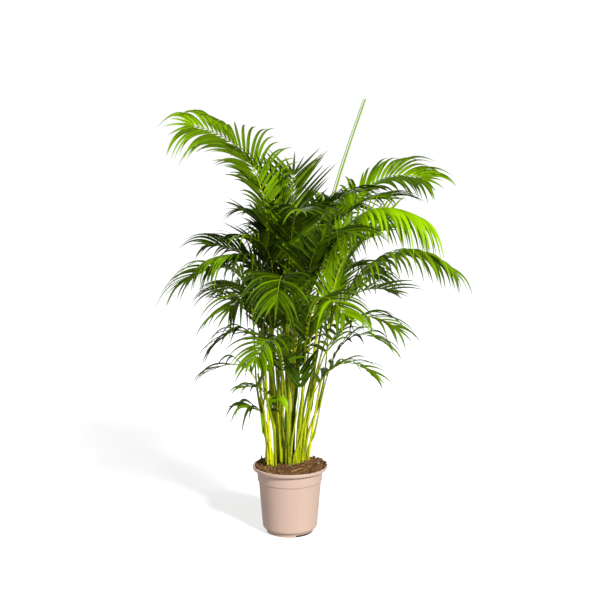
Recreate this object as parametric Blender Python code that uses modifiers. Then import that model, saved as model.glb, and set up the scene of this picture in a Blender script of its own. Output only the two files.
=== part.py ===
"""Areca palm in a nursery pot: pot, potting mix, canes, arching fronds and an unopened spear leaf.

Metres, +Z up. The origin is the middle of the pot's foot, on the surface it stands on.
Azimuths are in degrees about +Z from +X. The palm's heights are measured above the pot's rim.
"""

import math
import random
from collections import namedtuple

import bmesh
import bpy
import numpy as np
from mathutils import Matrix, Vector
from mathutils.bvhtree import BVHTree

# The pot
POT_HEIGHT = 0.243
RIM_RADIUS = 0.1334
LIP_WIDTH = 0.008
LIP_DROP = 0.013
LIP_ROUND = 0.004
LIP_OVERHANG = 0.0164
LIP_FILLET = 0.0015
COLLAR_HEIGHT = 0.053
COLLAR_TAPER = 0.002
COLLAR_STEP = 0.0058
STEP_DROP = 0.0035
BODY_TAPER = 0.0137
CORNER_HEIGHT = 0.0215
CORNER_INSET = 0.003
CORNER_DROP = 0.0055
FOOT_INSET = 0.014
FOOT_HEIGHT = 0.011
FOOT_WIDTH = 0.0030
POT_WALL = 0.0018
FLOOR_UNDERSIDE = 0.0070
POT_STEPS = 48
COLLAR_RADIUS = RIM_RADIUS - LIP_OVERHANG
COLLAR_BOTTOM = POT_HEIGHT - COLLAR_HEIGHT
BODY_TOP_RADIUS = COLLAR_RADIUS - COLLAR_STEP
BODY_FOOT_RADIUS = BODY_TOP_RADIUS - BODY_TAPER
FOOT_RADIUS = BODY_FOOT_RADIUS - FOOT_INSET

# Openings in the pot's foot and floor
NOTCH_COUNT = 2
NOTCH_AZIMUTH = -49.0
NOTCH_ANGLE = 52.0
NOTCH_ROOF = 0.0006
NOTCH_SECTIONS = 7
DRAIN_HOLES = 8
DRAIN_HOLE_RADIUS = 0.006
DRAIN_CIRCLE_RADIUS = 0.055
CUT_OVERRUN = 0.003
ROUND_SIDES = 12

# The potting mix
SOIL_GAP = 0.0004
SOIL_EDGE_DROP = 0.003
SOIL_MOUND = 0.010

# The canes
CANE_RADIUS = 0.0062
CANE_TAPER = 0.72
CANE_COLLAR = 0.004
CANE_BEND = 1.25
CANE_SHARES = (0.1, 0.28, 0.46, 0.64, 0.82, 1.0)
SOCKET_DEPTH = 0.045
SOCKET_GAP = 0.0004
SOCKET_TOP = POT_HEIGHT + 0.050
CLUMP_MARGIN = 0.0094
CLUMP_RADIUS = BODY_TOP_RADIUS - POT_WALL - CLUMP_MARGIN

# The fronds' stalks
PETIOLE_RADIUS = 0.0034
RACHIS_TIP_RADIUS = 0.0009
STALK_GAP = 0.0006
STALK_LEAN = 0.06
STALK_REACH = 0.42
STALK_POINTS = 61
PETIOLE_SECTIONS = 6
CORNER_REACH = 1.2
UPPER_CORNER = 0.55
LOWER_CORNER = 1.05
BAR_SPACING = 0.003
LOWEST_START = 0.004
FROND_REACH = 1.0
FROND_RISE = 1.0

# Their leaflets
LEAFLET_NODE = 0.011
LEAFLET_KEEL = 0.0022
LEAFLET_MID = 0.46
LEAFLET_GAP = 0.0004
LEAFLET_TIP_GAP = 0.001
LEAFLET_FOOT_SHARE = 0.12
SHORTEST_LEAFLET = 0.58
SWING_NOISE = 3.0
LIFT_NOISE = 4.0
LENGTH_NOISE = 0.08
LOWEST_LEAF = 0.02

# The unopened leaf
SPEAR_RADIUS = 0.0036
SPEAR_TIP_RADIUS = 0.0008
SPEAR_TAPER = (1.0, 1.05, 1.0, 0.9, 0.7)
SPEAR_STRAIGHT = 0.05

# A dry, broken-off shoot at the edge of the potting mix
STUB_AZIMUTH = 163.1
STUB_EDGE_GAP = 0.0118
STUB_RADIUS = 0.0032
STUB_HEIGHT = 0.018
STUB_DEPTH = 0.020
STUB_TILT = 0.003

# A cane's foot is given in shares of the clump's radius, and its lean, height and girth follow.
Cane = namedtuple("Cane", "across deep lean_x lean_y height girth")
CANES = (
    Cane(-0.67, -0.37, -0.021, -0.011, 0.40, 0.90),
    Cane(-0.52, -0.04, -0.014, -0.008, 0.47, 1.00),
    Cane(-0.29, -0.14, -0.011, -0.022, 0.38, 1.00),
    Cane(-0.02, -0.38, 0.004, -0.028, 0.34, 0.95),
    Cane(0.06, 0.72, 0.020, 0.026, 0.56, 1.20),
    Cane(0.31, 0.32, 0.027, 0.004, 0.46, 0.95),
    Cane(0.44, -0.02, 0.044, -0.018, 0.40, 1.00),
    Cane(0.52, 0.64, 0.048, 0.014, 0.50, 1.15),
    Cane(-0.45, 0.45, -0.027, 0.025, 0.52, 1.05),
    Cane(-0.12, 0.36, -0.002, 0.014, 0.60, 1.00),
    Cane(0.20, -0.30, 0.026, -0.032, 0.30, 0.85),
    Cane(-0.22, 0.84, -0.012, 0.042, 0.44, 0.95),
    Cane(0.66, 0.26, 0.052, 0.002, 0.34, 0.90),
    Cane(-0.78, 0.14, -0.034, 0.004, 0.32, 0.90),
)

# A frond leaves its cane at start, passes its crest and ends at its tip. Reaches are from the
# pot's axis. Roll turns the blade about its own stalk, lift folds the leaflets up into a V, and
# droop bends their outer halves down. Bare is the share of the stalk with no leaflets.
Frond = namedtuple(
    "Frond",
    "cane start azimuth crest_reach crest_height tip_reach tip_height sweep"
    " roll lift droop length width pairs bare open_angle",
    defaults=(0.45, 58.0),
)
FRONDS = (
    Frond(2, 0.36, 181, 0.195, 1.140, 0.335, 1.200, 0, 50, 18, 0.85, 0.185, 0.013, 15, 0.50),
    Frond(9, 0.42, 165, 0.075, 1.000, 0.160, 1.080, 0, 20, 20, 0.40, 0.170, 0.012, 9, 0.50),
    Frond(5, 0.46, 86, 0.110, 0.900, 0.170, 1.030, 0, 0, 12, 0.30, 0.190, 0.013, 13, 0.42),
    Frond(9, 0.34, 158, 0.075, 0.830, 0.145, 0.890, 0, 10, 20, 0.35, 0.170, 0.013, 9, 0.50),
    Frond(2, 0.28, 184, 0.150, 0.740, 0.270, 0.785, 0, 25, 20, 0.60, 0.180, 0.013, 12, 0.45),
    Frond(1, 0.26, 203, 0.140, 0.740, 0.250, 0.760, 0, 10, 5, 1.50, 0.210, 0.015, 11, 0.48),
    Frond(14, 0.22, 178, 0.200, 0.700, 0.345, 0.680, 0, 15, 15, 0.80, 0.220, 0.013, 10, 0.48),
    Frond(3, 0.20, 192, 0.155, 0.490, 0.250, 0.465, 0, 5, 15, 0.80, 0.150, 0.013, 8, 0.48),
    Frond(14, 0.14, 170, 0.160, 0.550, 0.250, 0.585, 0, 15, 20, 0.25, 0.150, 0.011, 8, 0.48),
    Frond(1, 0.12, 182, 0.150, 0.350, 0.245, 0.360, 0, 10, 15, 0.80, 0.220, 0.012, 5, 0.50),
    Frond(1, 0.05, 205, 0.110, 0.285, 0.165, 0.295, 0, 5, 10, 0.70, 0.100, 0.010, 4, 0.55),
    Frond(14, 0.01, 186, 0.095, 0.185, 0.135, 0.215, 0, 5, 10, 1.20, 0.200, 0.012, 3, 0.78),
    Frond(3, 0.02, 236, 0.070, 0.180, 0.078, 0.255, 0, 0, 5, 1.20, 0.070, 0.024, 1, 0.97, 70.0),
    Frond(14, 0.18, 215, 0.090, 0.300, 0.092, 0.365, 0, 0, 5, 0.60, 0.065, 0.020, 1, 0.95, 80.0),
    Frond(4, 0.06, 289, 0.092, 0.250, 0.098, 0.385, 0, 0, 10, 0.10, 0.120, 0.019, 3, 0.74, 34.0),
    Frond(8, 0.42, 12, 0.320, 1.010, 0.480, 1.015, 0, -40, 20, 0.65, 0.165, 0.013, 15, 0.45),
    Frond(6, 0.36, -8, 0.290, 0.915, 0.440, 0.895, 0, -10, 5, 1.40, 0.200, 0.014, 13, 0.45),
    Frond(13, 0.24, 18, 0.230, 0.775, 0.340, 0.850, 0, -50, 15, 0.15, 0.180, 0.010, 9, 0.48),
    Frond(7, 0.30, -2, 0.340, 0.755, 0.545, 0.720, 0, -15, 10, 1.20, 0.180, 0.013, 15, 0.42),
    Frond(7, 0.20, -36, 0.260, 0.550, 0.430, 0.545, 0, 0, 15, 0.70, 0.170, 0.013, 11, 0.40),
    Frond(13, 0.12, -5, 0.240, 0.475, 0.340, 0.445, 0, -5, 15, 0.60, 0.140, 0.012, 8, 0.42),
    Frond(8, 0.22, 22, 0.250, 0.600, 0.380, 0.610, 0, -20, 20, 0.25, 0.170, 0.011, 9, 0.42),
    Frond(11, 0.10, -25, 0.200, 0.385, 0.300, 0.370, 0, -5, 15, 0.50, 0.160, 0.013, 5, 0.50),
    Frond(4, 0.22, -95, 0.220, 0.700, 0.420, 0.660, 0, 0, 15, 0.70, 0.200, 0.013, 11, 0.42),
    Frond(11, 0.20, -62, 0.200, 0.620, 0.380, 0.600, 0, 0, 15, 0.60, 0.180, 0.013, 10, 0.42),
    Frond(3, 0.28, -128, 0.180, 0.640, 0.310, 0.610, 0, 0, 15, 0.80, 0.180, 0.013, 10, 0.42),
    Frond(4, 0.12, -112, 0.160, 0.480, 0.290, 0.440, 0, 0, 15, 0.60, 0.160, 0.013, 8, 0.45),
    Frond(6, 0.26, -55, 0.200, 0.830, 0.340, 0.860, 0, 0, 15, 0.60, 0.190, 0.013, 10, 0.45),
    Frond(2, 0.40, -140, 0.120, 0.800, 0.220, 0.830, 0, 10, 15, 0.60, 0.170, 0.013, 10, 0.45),
    Frond(10, 0.46, -80, 0.120, 0.900, 0.250, 0.930, 0, 0, 15, 0.50, 0.190, 0.013, 10, 0.45),
    Frond(10, 0.52, -20, 0.130, 0.930, 0.250, 0.980, 0, 0, 15, 0.50, 0.180, 0.013, 9, 0.48),
    Frond(12, 0.30, 100, 0.250, 0.800, 0.430, 0.760, 0, 0, 18, 0.60, 0.200, 0.013, 11, 0.42),
    Frond(12, 0.20, 138, 0.220, 0.620, 0.350, 0.600, 0, 0, 18, 0.60, 0.180, 0.013, 10, 0.42),
    Frond(5, 0.36, 58, 0.250, 0.900, 0.430, 0.900, 0, 0, 18, 0.50, 0.200, 0.013, 11, 0.45),
    Frond(8, 0.32, 46, 0.280, 0.680, 0.450, 0.640, 0, 0, 18, 0.60, 0.180, 0.013, 10, 0.42),
    Frond(12, 0.38, 122, 0.180, 0.880, 0.270, 0.890, 0, 0, 18, 0.60, 0.180, 0.013, 11, 0.45),
    Frond(10, 0.40, 112, 0.110, 0.970, 0.180, 1.010, 0, 0, 18, 0.40, 0.170, 0.013, 10, 0.48),
    Frond(12, 0.10, 78, 0.200, 0.480, 0.340, 0.440, 0, 0, 18, 0.60, 0.160, 0.013, 8, 0.42),
    Frond(5, 0.26, 28, 0.220, 0.900, 0.380, 0.940, 0, -10, 18, 0.45, 0.190, 0.013, 10, 0.48),
)

# The unopened leaf rises from the top of its cane through these (x, y, height) points.
SPEAR_CANE = 6
SPEAR_POINTS = ((0.105, 0.05, 0.62), (0.150, 0.05, 0.935), (0.200, 0.05, 1.105), (0.262, 0.05, 1.289))

COLOURS = {
    "pot": ((0.60, 0.42, 0.34), 0.5),
    "soil": ((0.10, 0.055, 0.028), 0.95),
    "cane": ((0.45, 0.50, 0.04), 0.45),
    "frond": ((0.09, 0.26, 0.02), 0.40),
    "spear_leaf": ((0.35, 0.50, 0.05), 0.40),
    "dry_stub": ((0.12, 0.06, 0.03), 0.85),
}


# Small helpers


def clear_scene():
    for obj in list(bpy.data.objects):
        bpy.data.objects.remove(obj, do_unlink=True)


def new_collection(name):
    collection = bpy.data.collections.new(name)
    bpy.context.scene.collection.children.link(collection)
    return collection


def material_for(name, kind):
    colour, roughness = COLOURS[kind]
    material = bpy.data.materials.new(name)
    material.use_nodes = True
    shader = material.node_tree.nodes["Principled BSDF"]
    shader.inputs["Base Color"].default_value = (*colour, 1.0)
    shader.inputs["Roughness"].default_value = roughness
    shader.inputs["Metallic"].default_value = 0.0
    return material


def add_mesh(name, vertices, faces, collection, kind):
    """A closed solid from its corners and faces, with the faces turned to point out."""
    bm = bmesh.new()
    corners = [bm.verts.new(v) for v in vertices]
    for face in faces:
        bm.faces.new([corners[i] for i in face])
    bmesh.ops.recalc_face_normals(bm, faces=bm.faces)
    obj = from_bmesh(name, bm, collection)
    obj.data.materials.append(material_for(name, kind))
    return obj


def as_cutter(obj):
    obj.hide_render = True
    obj.display_type = "WIRE"


def cut(obj, cutter):
    modifier = obj.modifiers.new(cutter.name, "BOOLEAN")
    modifier.operation = "DIFFERENCE"
    modifier.object = cutter


def arc(centre_r, centre_z, radius, first_angle, last_angle, count):
    """Points of a circular arc in the profile's plane, its angles in degrees from +X."""
    points = []
    for i in range(count):
        angle = math.radians(first_angle + (last_angle - first_angle) * i / (count - 1))
        points.append((centre_r + radius * math.cos(angle), centre_z + radius * math.sin(angle)))
    return points


def turned(name, profile, collection, kind):
    """A solid turned about +Z from a profile of (radius, height) points."""
    mesh = bpy.data.meshes.new(name)
    mesh.from_pydata([(r, 0.0, z) for r, z in profile], [(i, i + 1) for i in range(len(profile) - 1)], [])
    obj = bpy.data.objects.new(name, mesh)
    collection.objects.link(obj)
    mesh.materials.append(material_for(name, kind))
    screw = obj.modifiers.new("turn", "SCREW")
    screw.axis = "Z"
    screw.steps = POT_STEPS
    screw.render_steps = POT_STEPS
    screw.use_merge_vertices = True
    screw.merge_threshold = 0.00001
    screw.use_smooth_shade = True
    return obj


# Pot


def inner_profile():
    """The pot's inside, from the floor's edge up to the lip."""
    return [
        (FOOT_RADIUS - POT_WALL, FLOOR_UNDERSIDE + POT_WALL),
        (BODY_FOOT_RADIUS - POT_WALL, CORNER_HEIGHT + POT_WALL),
        (BODY_TOP_RADIUS - POT_WALL, COLLAR_BOTTOM - STEP_DROP),
        (COLLAR_RADIUS - COLLAR_TAPER - POT_WALL, COLLAR_BOTTOM),
        (COLLAR_RADIUS - POT_WALL, POT_HEIGHT - LIP_DROP),
        (RIM_RADIUS - LIP_WIDTH, POT_HEIGHT - LIP_FILLET),
    ]


def pot_profile():
    floor_top = FLOOR_UNDERSIDE + POT_WALL
    outside = arc(RIM_RADIUS - LIP_ROUND, POT_HEIGHT - LIP_ROUND, LIP_ROUND, 105, -60, 7)
    outside += [
        (COLLAR_RADIUS + LIP_FILLET, POT_HEIGHT - LIP_DROP),
        (COLLAR_RADIUS, POT_HEIGHT - LIP_DROP - LIP_FILLET),
        (COLLAR_RADIUS - COLLAR_TAPER, COLLAR_BOTTOM),
        (BODY_TOP_RADIUS, COLLAR_BOTTOM - STEP_DROP),
        (BODY_FOOT_RADIUS, CORNER_HEIGHT),
        (BODY_FOOT_RADIUS - CORNER_INSET, CORNER_HEIGHT - CORNER_DROP),
        (FOOT_RADIUS, FOOT_HEIGHT),
        (FOOT_RADIUS, 0.0),
    ]
    underside = [
        (FOOT_RADIUS - FOOT_WIDTH, 0.0),
        (FOOT_RADIUS - FOOT_WIDTH, FLOOR_UNDERSIDE),
        (0.0, FLOOR_UNDERSIDE),
    ]
    return [(0.0, floor_top)] + inner_profile() + outside + underside


def notch_cutter(collection):
    """Wedges that open the foot ring, so that water can leave from under the pot."""
    inner = FOOT_RADIUS - FOOT_WIDTH - CUT_OVERRUN
    outer = FOOT_RADIUS + CUT_OVERRUN
    roof = FLOOR_UNDERSIDE - NOTCH_ROOF
    outline = ((inner, -CUT_OVERRUN), (outer, -CUT_OVERRUN), (outer, roof), (inner, roof))
    bm = bmesh.new()
    for i in range(NOTCH_COUNT):
        middle = NOTCH_AZIMUTH + 360.0 * i / NOTCH_COUNT
        sections = []
        for j in range(NOTCH_SECTIONS):
            outward = direction(middle + NOTCH_ANGLE * (j / (NOTCH_SECTIONS - 1) - 0.5))
            sections.append([bm.verts.new(outward * r + Vector((0.0, 0.0, z))) for r, z in outline])
        for a, b in zip(sections, sections[1:]):
            for k in range(4):
                bm.faces.new((a[k], b[k], b[(k + 1) % 4], a[(k + 1) % 4]))
        bm.faces.new(sections[0])
        bm.faces.new(sections[-1])
    bmesh.ops.recalc_face_normals(bm, faces=bm.faces)
    return from_bmesh("foot_notches", bm, collection)


def from_bmesh(name, bm, collection):
    mesh = bpy.data.meshes.new(name)
    bm.to_mesh(mesh)
    bm.free()
    obj = bpy.data.objects.new(name, mesh)
    collection.objects.link(obj)
    return obj


def cylinders(name, places, collection):
    """One mesh of upright cylinders, each given as (x, y, low, high, radius)."""
    bm = bmesh.new()
    for x, y, low, high, radius in places:
        bmesh.ops.create_cone(
            bm,
            cap_ends=True,
            segments=ROUND_SIDES,
            radius1=radius,
            radius2=radius,
            depth=high - low,
            matrix=Matrix.Translation((x, y, (low + high) / 2.0)),
        )
    return from_bmesh(name, bm, collection)


def make_pot(parts, cutters):
    pot = turned("pot", pot_profile(), parts, "pot")
    notches = notch_cutter(cutters)
    low = FLOOR_UNDERSIDE - CUT_OVERRUN
    high = FLOOR_UNDERSIDE + POT_WALL + CUT_OVERRUN
    holes = []
    for i in range(DRAIN_HOLES):
        middle = direction(360.0 * (i + 0.5) / DRAIN_HOLES) * DRAIN_CIRCLE_RADIUS
        holes.append((middle.x, middle.y, low, high, DRAIN_HOLE_RADIUS))
    drains = cylinders("drain_holes", holes, cutters)
    for cutter in (notches, drains):
        as_cutter(cutter)
        cut(pot, cutter)


# Soil


def soil_height(reach):
    """Height of the mounded surface at a distance from the pot's axis."""
    edge = RIM_RADIUS - LIP_WIDTH
    return POT_HEIGHT - SOIL_EDGE_DROP + SOIL_MOUND * (1.0 - (reach / edge) ** 2)


def soil_profile():
    wall = inner_profile()
    edge_z = POT_HEIGHT - SOIL_EDGE_DROP
    (low_r, low_z), (high_r, high_z) = wall[-2:]
    share = (edge_z - low_z) / (high_z - low_z)
    edge_r = low_r + share * (high_r - low_r)
    top = [(edge_r * i / 5.0, soil_height(edge_r * i / 5.0)) for i in range(5)]
    side = [(r - SOIL_GAP, z + SOIL_GAP) for r, z in reversed(wall[:-1])]
    floor_z = FLOOR_UNDERSIDE + POT_WALL + SOIL_GAP
    return top + [(edge_r - SOIL_GAP * 2.0, edge_z)] + side + [(0.0, floor_z)]


def make_soil(parts, cutters):
    soil = turned("soil", soil_profile(), parts, "soil")
    swell = 1.0 / math.cos(math.pi / ROUND_SIDES)
    places = []
    for cane in CANES:
        foot = cane_foot(cane)
        radius = (cane_radius(cane, 0.0) + SOCKET_GAP) * swell
        places.append((foot.x, foot.y, socket_floor(foot) - SOCKET_GAP, SOCKET_TOP, radius))
    foot = stub_foot()
    radius = (STUB_RADIUS + SOCKET_GAP) * swell
    places.append((foot.x, foot.y, foot.z - SOCKET_GAP, SOCKET_TOP, radius))
    sockets = cylinders("cane_sockets", places, cutters)
    as_cutter(sockets)
    cut(soil, sockets)


# Canes


def cane_radius(cane, along):
    return CANE_RADIUS * cane.girth * (1.0 - (1.0 - CANE_TAPER) * along)


def cane_foot(cane):
    return Vector((cane.across * CLUMP_RADIUS, cane.deep * CLUMP_RADIUS, 0.0))


def socket_floor(foot):
    return soil_height(foot.length) - SOCKET_DEPTH


def cane_point(cane, height):
    """Middle of a cane at a height above the pot's rim. It leaves the soil upright and then leans."""
    bend = (max(0.0, height) / cane.height) ** CANE_BEND
    foot = cane_foot(cane)
    return Vector((foot.x + cane.lean_x * bend, foot.y + cane.lean_y * bend, POT_HEIGHT + height))


def cane_path(cane):
    foot = cane_foot(cane)
    low = Vector((foot.x, foot.y, socket_floor(foot)))
    collar = Vector((foot.x, foot.y, soil_height(foot.length) + CANE_COLLAR))
    return [low, collar] + [cane_point(cane, cane.height * share) for share in CANE_SHARES]


def tube(name, points, radii, collection, kind, resolution):
    """A round bar along points, as a filled curve."""
    curve = bpy.data.curves.new(name, "CURVE")
    curve.dimensions = "3D"
    curve.bevel_depth = 1.0
    curve.bevel_resolution = resolution
    curve.use_fill_caps = True
    spline = curve.splines.new("POLY")
    spline.points.add(len(points) - 1)
    for spot, point, radius in zip(spline.points, points, radii):
        spot.co = (*point, 1.0)
        spot.radius = radius
    obj = bpy.data.objects.new(name, curve)
    collection.objects.link(obj)
    curve.materials.append(material_for(name, kind))
    return obj


def cane_radii(cane):
    return [cane_radius(cane, 0.0)] * 2 + [cane_radius(cane, share) for share in CANE_SHARES]


def make_canes(parts):
    for i, cane in enumerate(CANES):
        tube(f"cane_{i + 1:02d}", cane_path(cane), cane_radii(cane), parts, "cane", 2)


def stub_foot():
    foot = direction(STUB_AZIMUTH) * (COLLAR_RADIUS - POT_WALL - STUB_EDGE_GAP)
    foot.z = soil_height(foot.length) - STUB_DEPTH
    return foot


def make_stub(parts):
    foot = stub_foot()
    middle = foot + Vector((0.0, 0.0, STUB_DEPTH + CANE_COLLAR))
    top = foot + Vector((-STUB_TILT, 0.0, STUB_DEPTH + STUB_HEIGHT))
    radii = (STUB_RADIUS * 0.9, STUB_RADIUS * 0.9, STUB_RADIUS * 0.7)
    tube("dry_stub", (foot, middle, top), radii, parts, "dry_stub", 1)


# Stalks: the paths of petioles and rachises


def direction(azimuth):
    angle = math.radians(azimuth)
    return Vector((math.cos(angle), math.sin(angle), 0.0))


def bezier(p0, p1, p2, p3, t):
    s = 1.0 - t
    return p0 * s**3 + p1 * (3.0 * s * s * t) + p2 * (3.0 * s * t * t) + p3 * t**3


def even_points(points, count):
    """Points at equal steps along a polyline."""
    lengths = [0.0]
    for a, b in zip(points, points[1:]):
        lengths.append(lengths[-1] + (b - a).length)
    result = []
    k = 0
    for i in range(count):
        target = lengths[-1] * i / (count - 1)
        while k < len(points) - 2 and lengths[k + 1] < target:
            k += 1
        step = lengths[k + 1] - lengths[k]
        result.append(points[k].lerp(points[k + 1], (target - lengths[k]) / step))
    return result


def stalk_path(frond, turn, shift):
    """The middle line of a frond's stalk, from beside its cane to the end of its rachis."""
    cane = CANES[frond.cane - 1]
    start_height = frond.start + shift
    crest = direction(frond.azimuth + turn) * frond.crest_reach * FROND_REACH
    crest.z = POT_HEIGHT + frond.crest_height * FROND_RISE
    tip = direction(frond.azimuth + turn + frond.sweep) * frond.tip_reach * FROND_REACH
    tip.z = POT_HEIGHT + frond.tip_height * FROND_RISE
    middle = cane_point(cane, start_height)
    above = cane_point(cane, start_height + 0.02)
    up = (above - middle).normalized()
    away = Vector((crest.x - middle.x, crest.y - middle.y, 0.0)).normalized()
    away = (away - up * away.dot(up)).normalized()
    thickness = cane_radius(cane, max(0.0, start_height) / cane.height)
    start = middle + away * (thickness + PETIOLE_RADIUS * CORNER_REACH + STALK_GAP * 2.0)
    rise = (crest - start).length
    first = start + (up + away * STALK_LEAN) * (rise * STALK_REACH)
    t = rise / (rise + (tip - crest).length)
    s = 1.0 - t
    second = (crest - start * s**3 - first * (3.0 * s * s * t) - tip * t**3) / (3.0 * s * t * t)
    curve = [bezier(start, first, second, tip, i / 120.0) for i in range(121)]
    return even_points(curve, STALK_POINTS)


def stalk_radius(share):
    return PETIOLE_RADIUS + (RACHIS_TIP_RADIUS - PETIOLE_RADIUS) * share**0.8


class Bar:
    """A round bar through some points, kept as closely spaced points for measuring gaps."""

    def __init__(self, points, radii):
        self.points = points
        self.radii = radii
        lengths = [(b - a).length for a, b in zip(points, points[1:])]
        count = int(sum(lengths) / BAR_SPACING) + 2
        self.dense = np.array(even_points(points, count))
        along = np.concatenate([[0.0], np.cumsum(lengths)]) / sum(lengths)
        self.dense_radii = np.interp(np.linspace(0.0, 1.0, count), along, radii)

    def gap_to(self, other):
        apart = np.linalg.norm(self.dense[:, None, :] - other.dense[None, :, :], axis=2)
        return float((apart - self.dense_radii[:, None] - other.dense_radii[None, :]).min())


class Stalk:
    """A frond's stalk: its smooth middle line, and the sections that its solid is lofted through."""

    def __init__(self, frond, turn, shift):
        self.turn = turn
        self.path = stalk_path(frond, turn, shift)
        self.length = sum((b - a).length for a, b in zip(self.path, self.path[1:]))
        self.shares, self.starts = stations(frond, self.length)
        self.centres = [path_at(self.path, share) for share in self.shares]
        self.bar = Bar(self.centres, [stalk_radius(share) * CORNER_REACH for share in self.shares])


def place_stalks(bars):
    """Finds each stalk's path, turned or moved a little where it would touch an earlier one."""
    choices = [(0.0, 0.0)]
    for size in (2, 4, 6, 9, 12, 16, 20, 25, 30):
        for shift in (0.0, -0.02, 0.02, -0.04, 0.04, -0.07, 0.07):
            choices += [(size, shift), (-size, shift)]
    stalks = []
    for frond in FRONDS:
        best = None
        best_gap = -1.0
        for turn, shift in choices:
            if frond.start + shift < LOWEST_START:
                continue
            stalk = Stalk(frond, turn, shift)
            gap = min(stalk.bar.gap_to(bar) for bar in bars)
            if gap > best_gap:
                best = stalk
                best_gap = gap
            if gap > STALK_GAP:
                break
        bars.append(best.bar)
        stalks.append(best)
    return stalks


# Fronds


def frame_at(path, index, azimuth, roll):
    """Tangent, right side and upper side of a stalk at one of its points."""
    tangent = (path[min(index + 1, len(path) - 1)] - path[max(index - 1, 0)]).normalized()
    side = direction(azimuth - 90.0)
    side = (side - tangent * side.dot(tangent)).normalized()
    upper = side.cross(tangent).normalized()
    turn = Matrix.Rotation(math.radians(roll), 3, tangent)
    return tangent, turn @ side, turn @ upper


def path_at(path, share):
    spot = share * (len(path) - 1)
    k = min(int(spot), len(path) - 2)
    return path[k].lerp(path[k + 1], spot - k)


class Placed:
    """Every stalk and leaflet that is already placed, for finding out what a new one would touch."""

    def __init__(self):
        self.trees = []
        self.boxes = np.empty((0, 6))
        self.owners = []

    def add(self, vertices, faces, owner):
        self.trees.append(BVHTree.FromPolygons(vertices, faces))
        corners = np.array(vertices)
        box = np.concatenate([corners.min(axis=0), corners.max(axis=0)])
        self.boxes = np.vstack([self.boxes, box])
        self.owners.append(owner)

    def touches(self, whole, trimmed, owner):
        """Whether a leaflet meets another's solids, or, from just off its foot, its own frond's."""
        corners = np.array(whole)
        low, high = corners.min(axis=0), corners.max(axis=0)
        near = (self.boxes[:, 3:] >= low).all(axis=1) & (self.boxes[:, :3] <= high).all(axis=1)
        whole_tree = BVHTree.FromPolygons(whole, SPIKE_FACES)
        trimmed_tree = BVHTree.FromPolygons(trimmed, SPIKE_FACES)
        for i in np.flatnonzero(near):
            tree = trimmed_tree if self.owners[i] == owner else whole_tree
            if tree.overlap(self.trees[i]):
                return True
        return False


def bar_shape(bar, sides=6):
    """A coarse tube around a bar, for testing what touches it."""
    vertices = []
    faces = []
    swell = 1.0 / math.cos(math.pi / sides)
    points = bar.points
    across = Vector((0.31, 0.95, 0.0))
    for i, (point, radius) in enumerate(zip(points, bar.radii)):
        ahead = (points[min(i + 1, len(points) - 1)] - points[max(i - 1, 0)]).normalized()
        across = (across - ahead * across.dot(ahead)).normalized()
        beside = ahead.cross(across)
        for k in range(sides):
            angle = 2.0 * math.pi * k / sides
            spoke = across * math.cos(angle) + beside * math.sin(angle)
            vertices.append(point + spoke * (radius * swell + LEAFLET_GAP))
    for i in range(len(points) - 1):
        for k in range(sides):
            a = i * sides + k
            b = i * sides + (k + 1) % sides
            faces.append((a, b, b + sides, a + sides))
    faces.append(tuple(range(sides)))
    faces.append(tuple(range(len(vertices) - sides, len(vertices))))
    return vertices, faces


SPIKE_FACES = (
    (0, 1, 4),
    (0, 4, 3),
    (1, 2, 5),
    (1, 5, 4),
    (2, 0, 3),
    (2, 3, 5),
    (3, 4, 6),
    (4, 5, 6),
    (5, 3, 6),
)


def leaflet_points(base, frame, side, frond, share, noise, trial):
    """The middle section and the tip of one leaflet, on the left (-1) or right (1) of its rachis."""
    tangent, right, upper = frame
    lift_more, droop_more, swing, scale = trial
    swing_noise, lift_noise, length_noise = noise
    belly = math.sin(math.pi * (0.16 + 0.72 * share))
    length = frond.length * (SHORTEST_LEAFLET + (1.0 - SHORTEST_LEAFLET) * belly)
    length *= scale * (1.0 + LENGTH_NOISE * length_noise)
    opened = math.radians(frond.open_angle * (1.12 - 0.55 * share) + SWING_NOISE * swing_noise + swing)
    lift = math.radians(frond.lift + LIFT_NOISE * lift_noise + lift_more)
    outward = right * (side * math.cos(lift)) + upper * math.sin(lift)
    ahead = (tangent * math.cos(opened) + outward * math.sin(opened)).normalized()
    down = Vector((0.0, 0.0, -1.0))
    bend = max(0.0, frond.droop + droop_more)
    first = (ahead + down * (bend * 0.25)).normalized()
    second = (ahead + down * (bend * 1.25)).normalized()
    middle = base + first * (length * LEAFLET_MID)
    tip = middle + second * (length * (1.0 - LEAFLET_MID))
    across = (tangent - first * tangent.dot(first)).normalized()
    face_up = across.cross(first) * side
    if face_up.dot(upper) < 0.0:
        face_up = -face_up
    half = across * (frond.width / 2.0 * side)
    return [middle + half, middle - half, middle - face_up * LEAFLET_KEEL], tip


def leaflet_trials():
    trials = [(0.0, 0.0, 0.0, 1.0)]
    for size in (1.0, 2.0, 3.0):
        for lift, droop, swing in (
            (7, 0, 0),
            (-7, 0, 0),
            (0, 0.14, 0),
            (0, 0, 6),
            (0, 0, -6),
            (5, 0, 5),
            (-5, 0.1, -5),
            (5, 0, -5),
            (-5, 0.1, 5),
        ):
            trials.append((lift * size, droop * size, swing * size, 1.0))
    for scale in (0.8, 0.65, 0.5, 0.36):
        for lift, droop, swing in ((0, 0, 0), (10, 0, 0), (-10, 0.1, 0), (0, 0, 9), (0, 0, -9)):
            trials.append((lift, droop, swing, scale))
    return trials


def stations(frond, length):
    """Shares of the stalk's length with a section, and which of them start a pair of leaflets."""
    shares = [frond.bare * i / PETIOLE_SECTIONS for i in range(PETIOLE_SECTIONS)]
    node = LEAFLET_NODE / length
    last = 1.0 - node * 1.5
    starts = []
    for i in range(frond.pairs):
        along = i / max(1, frond.pairs - 1)
        spot = frond.bare + (last - frond.bare) * along**0.92
        starts.append(len(shares))
        shares += [spot, spot + node]
    return shares, starts


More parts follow.
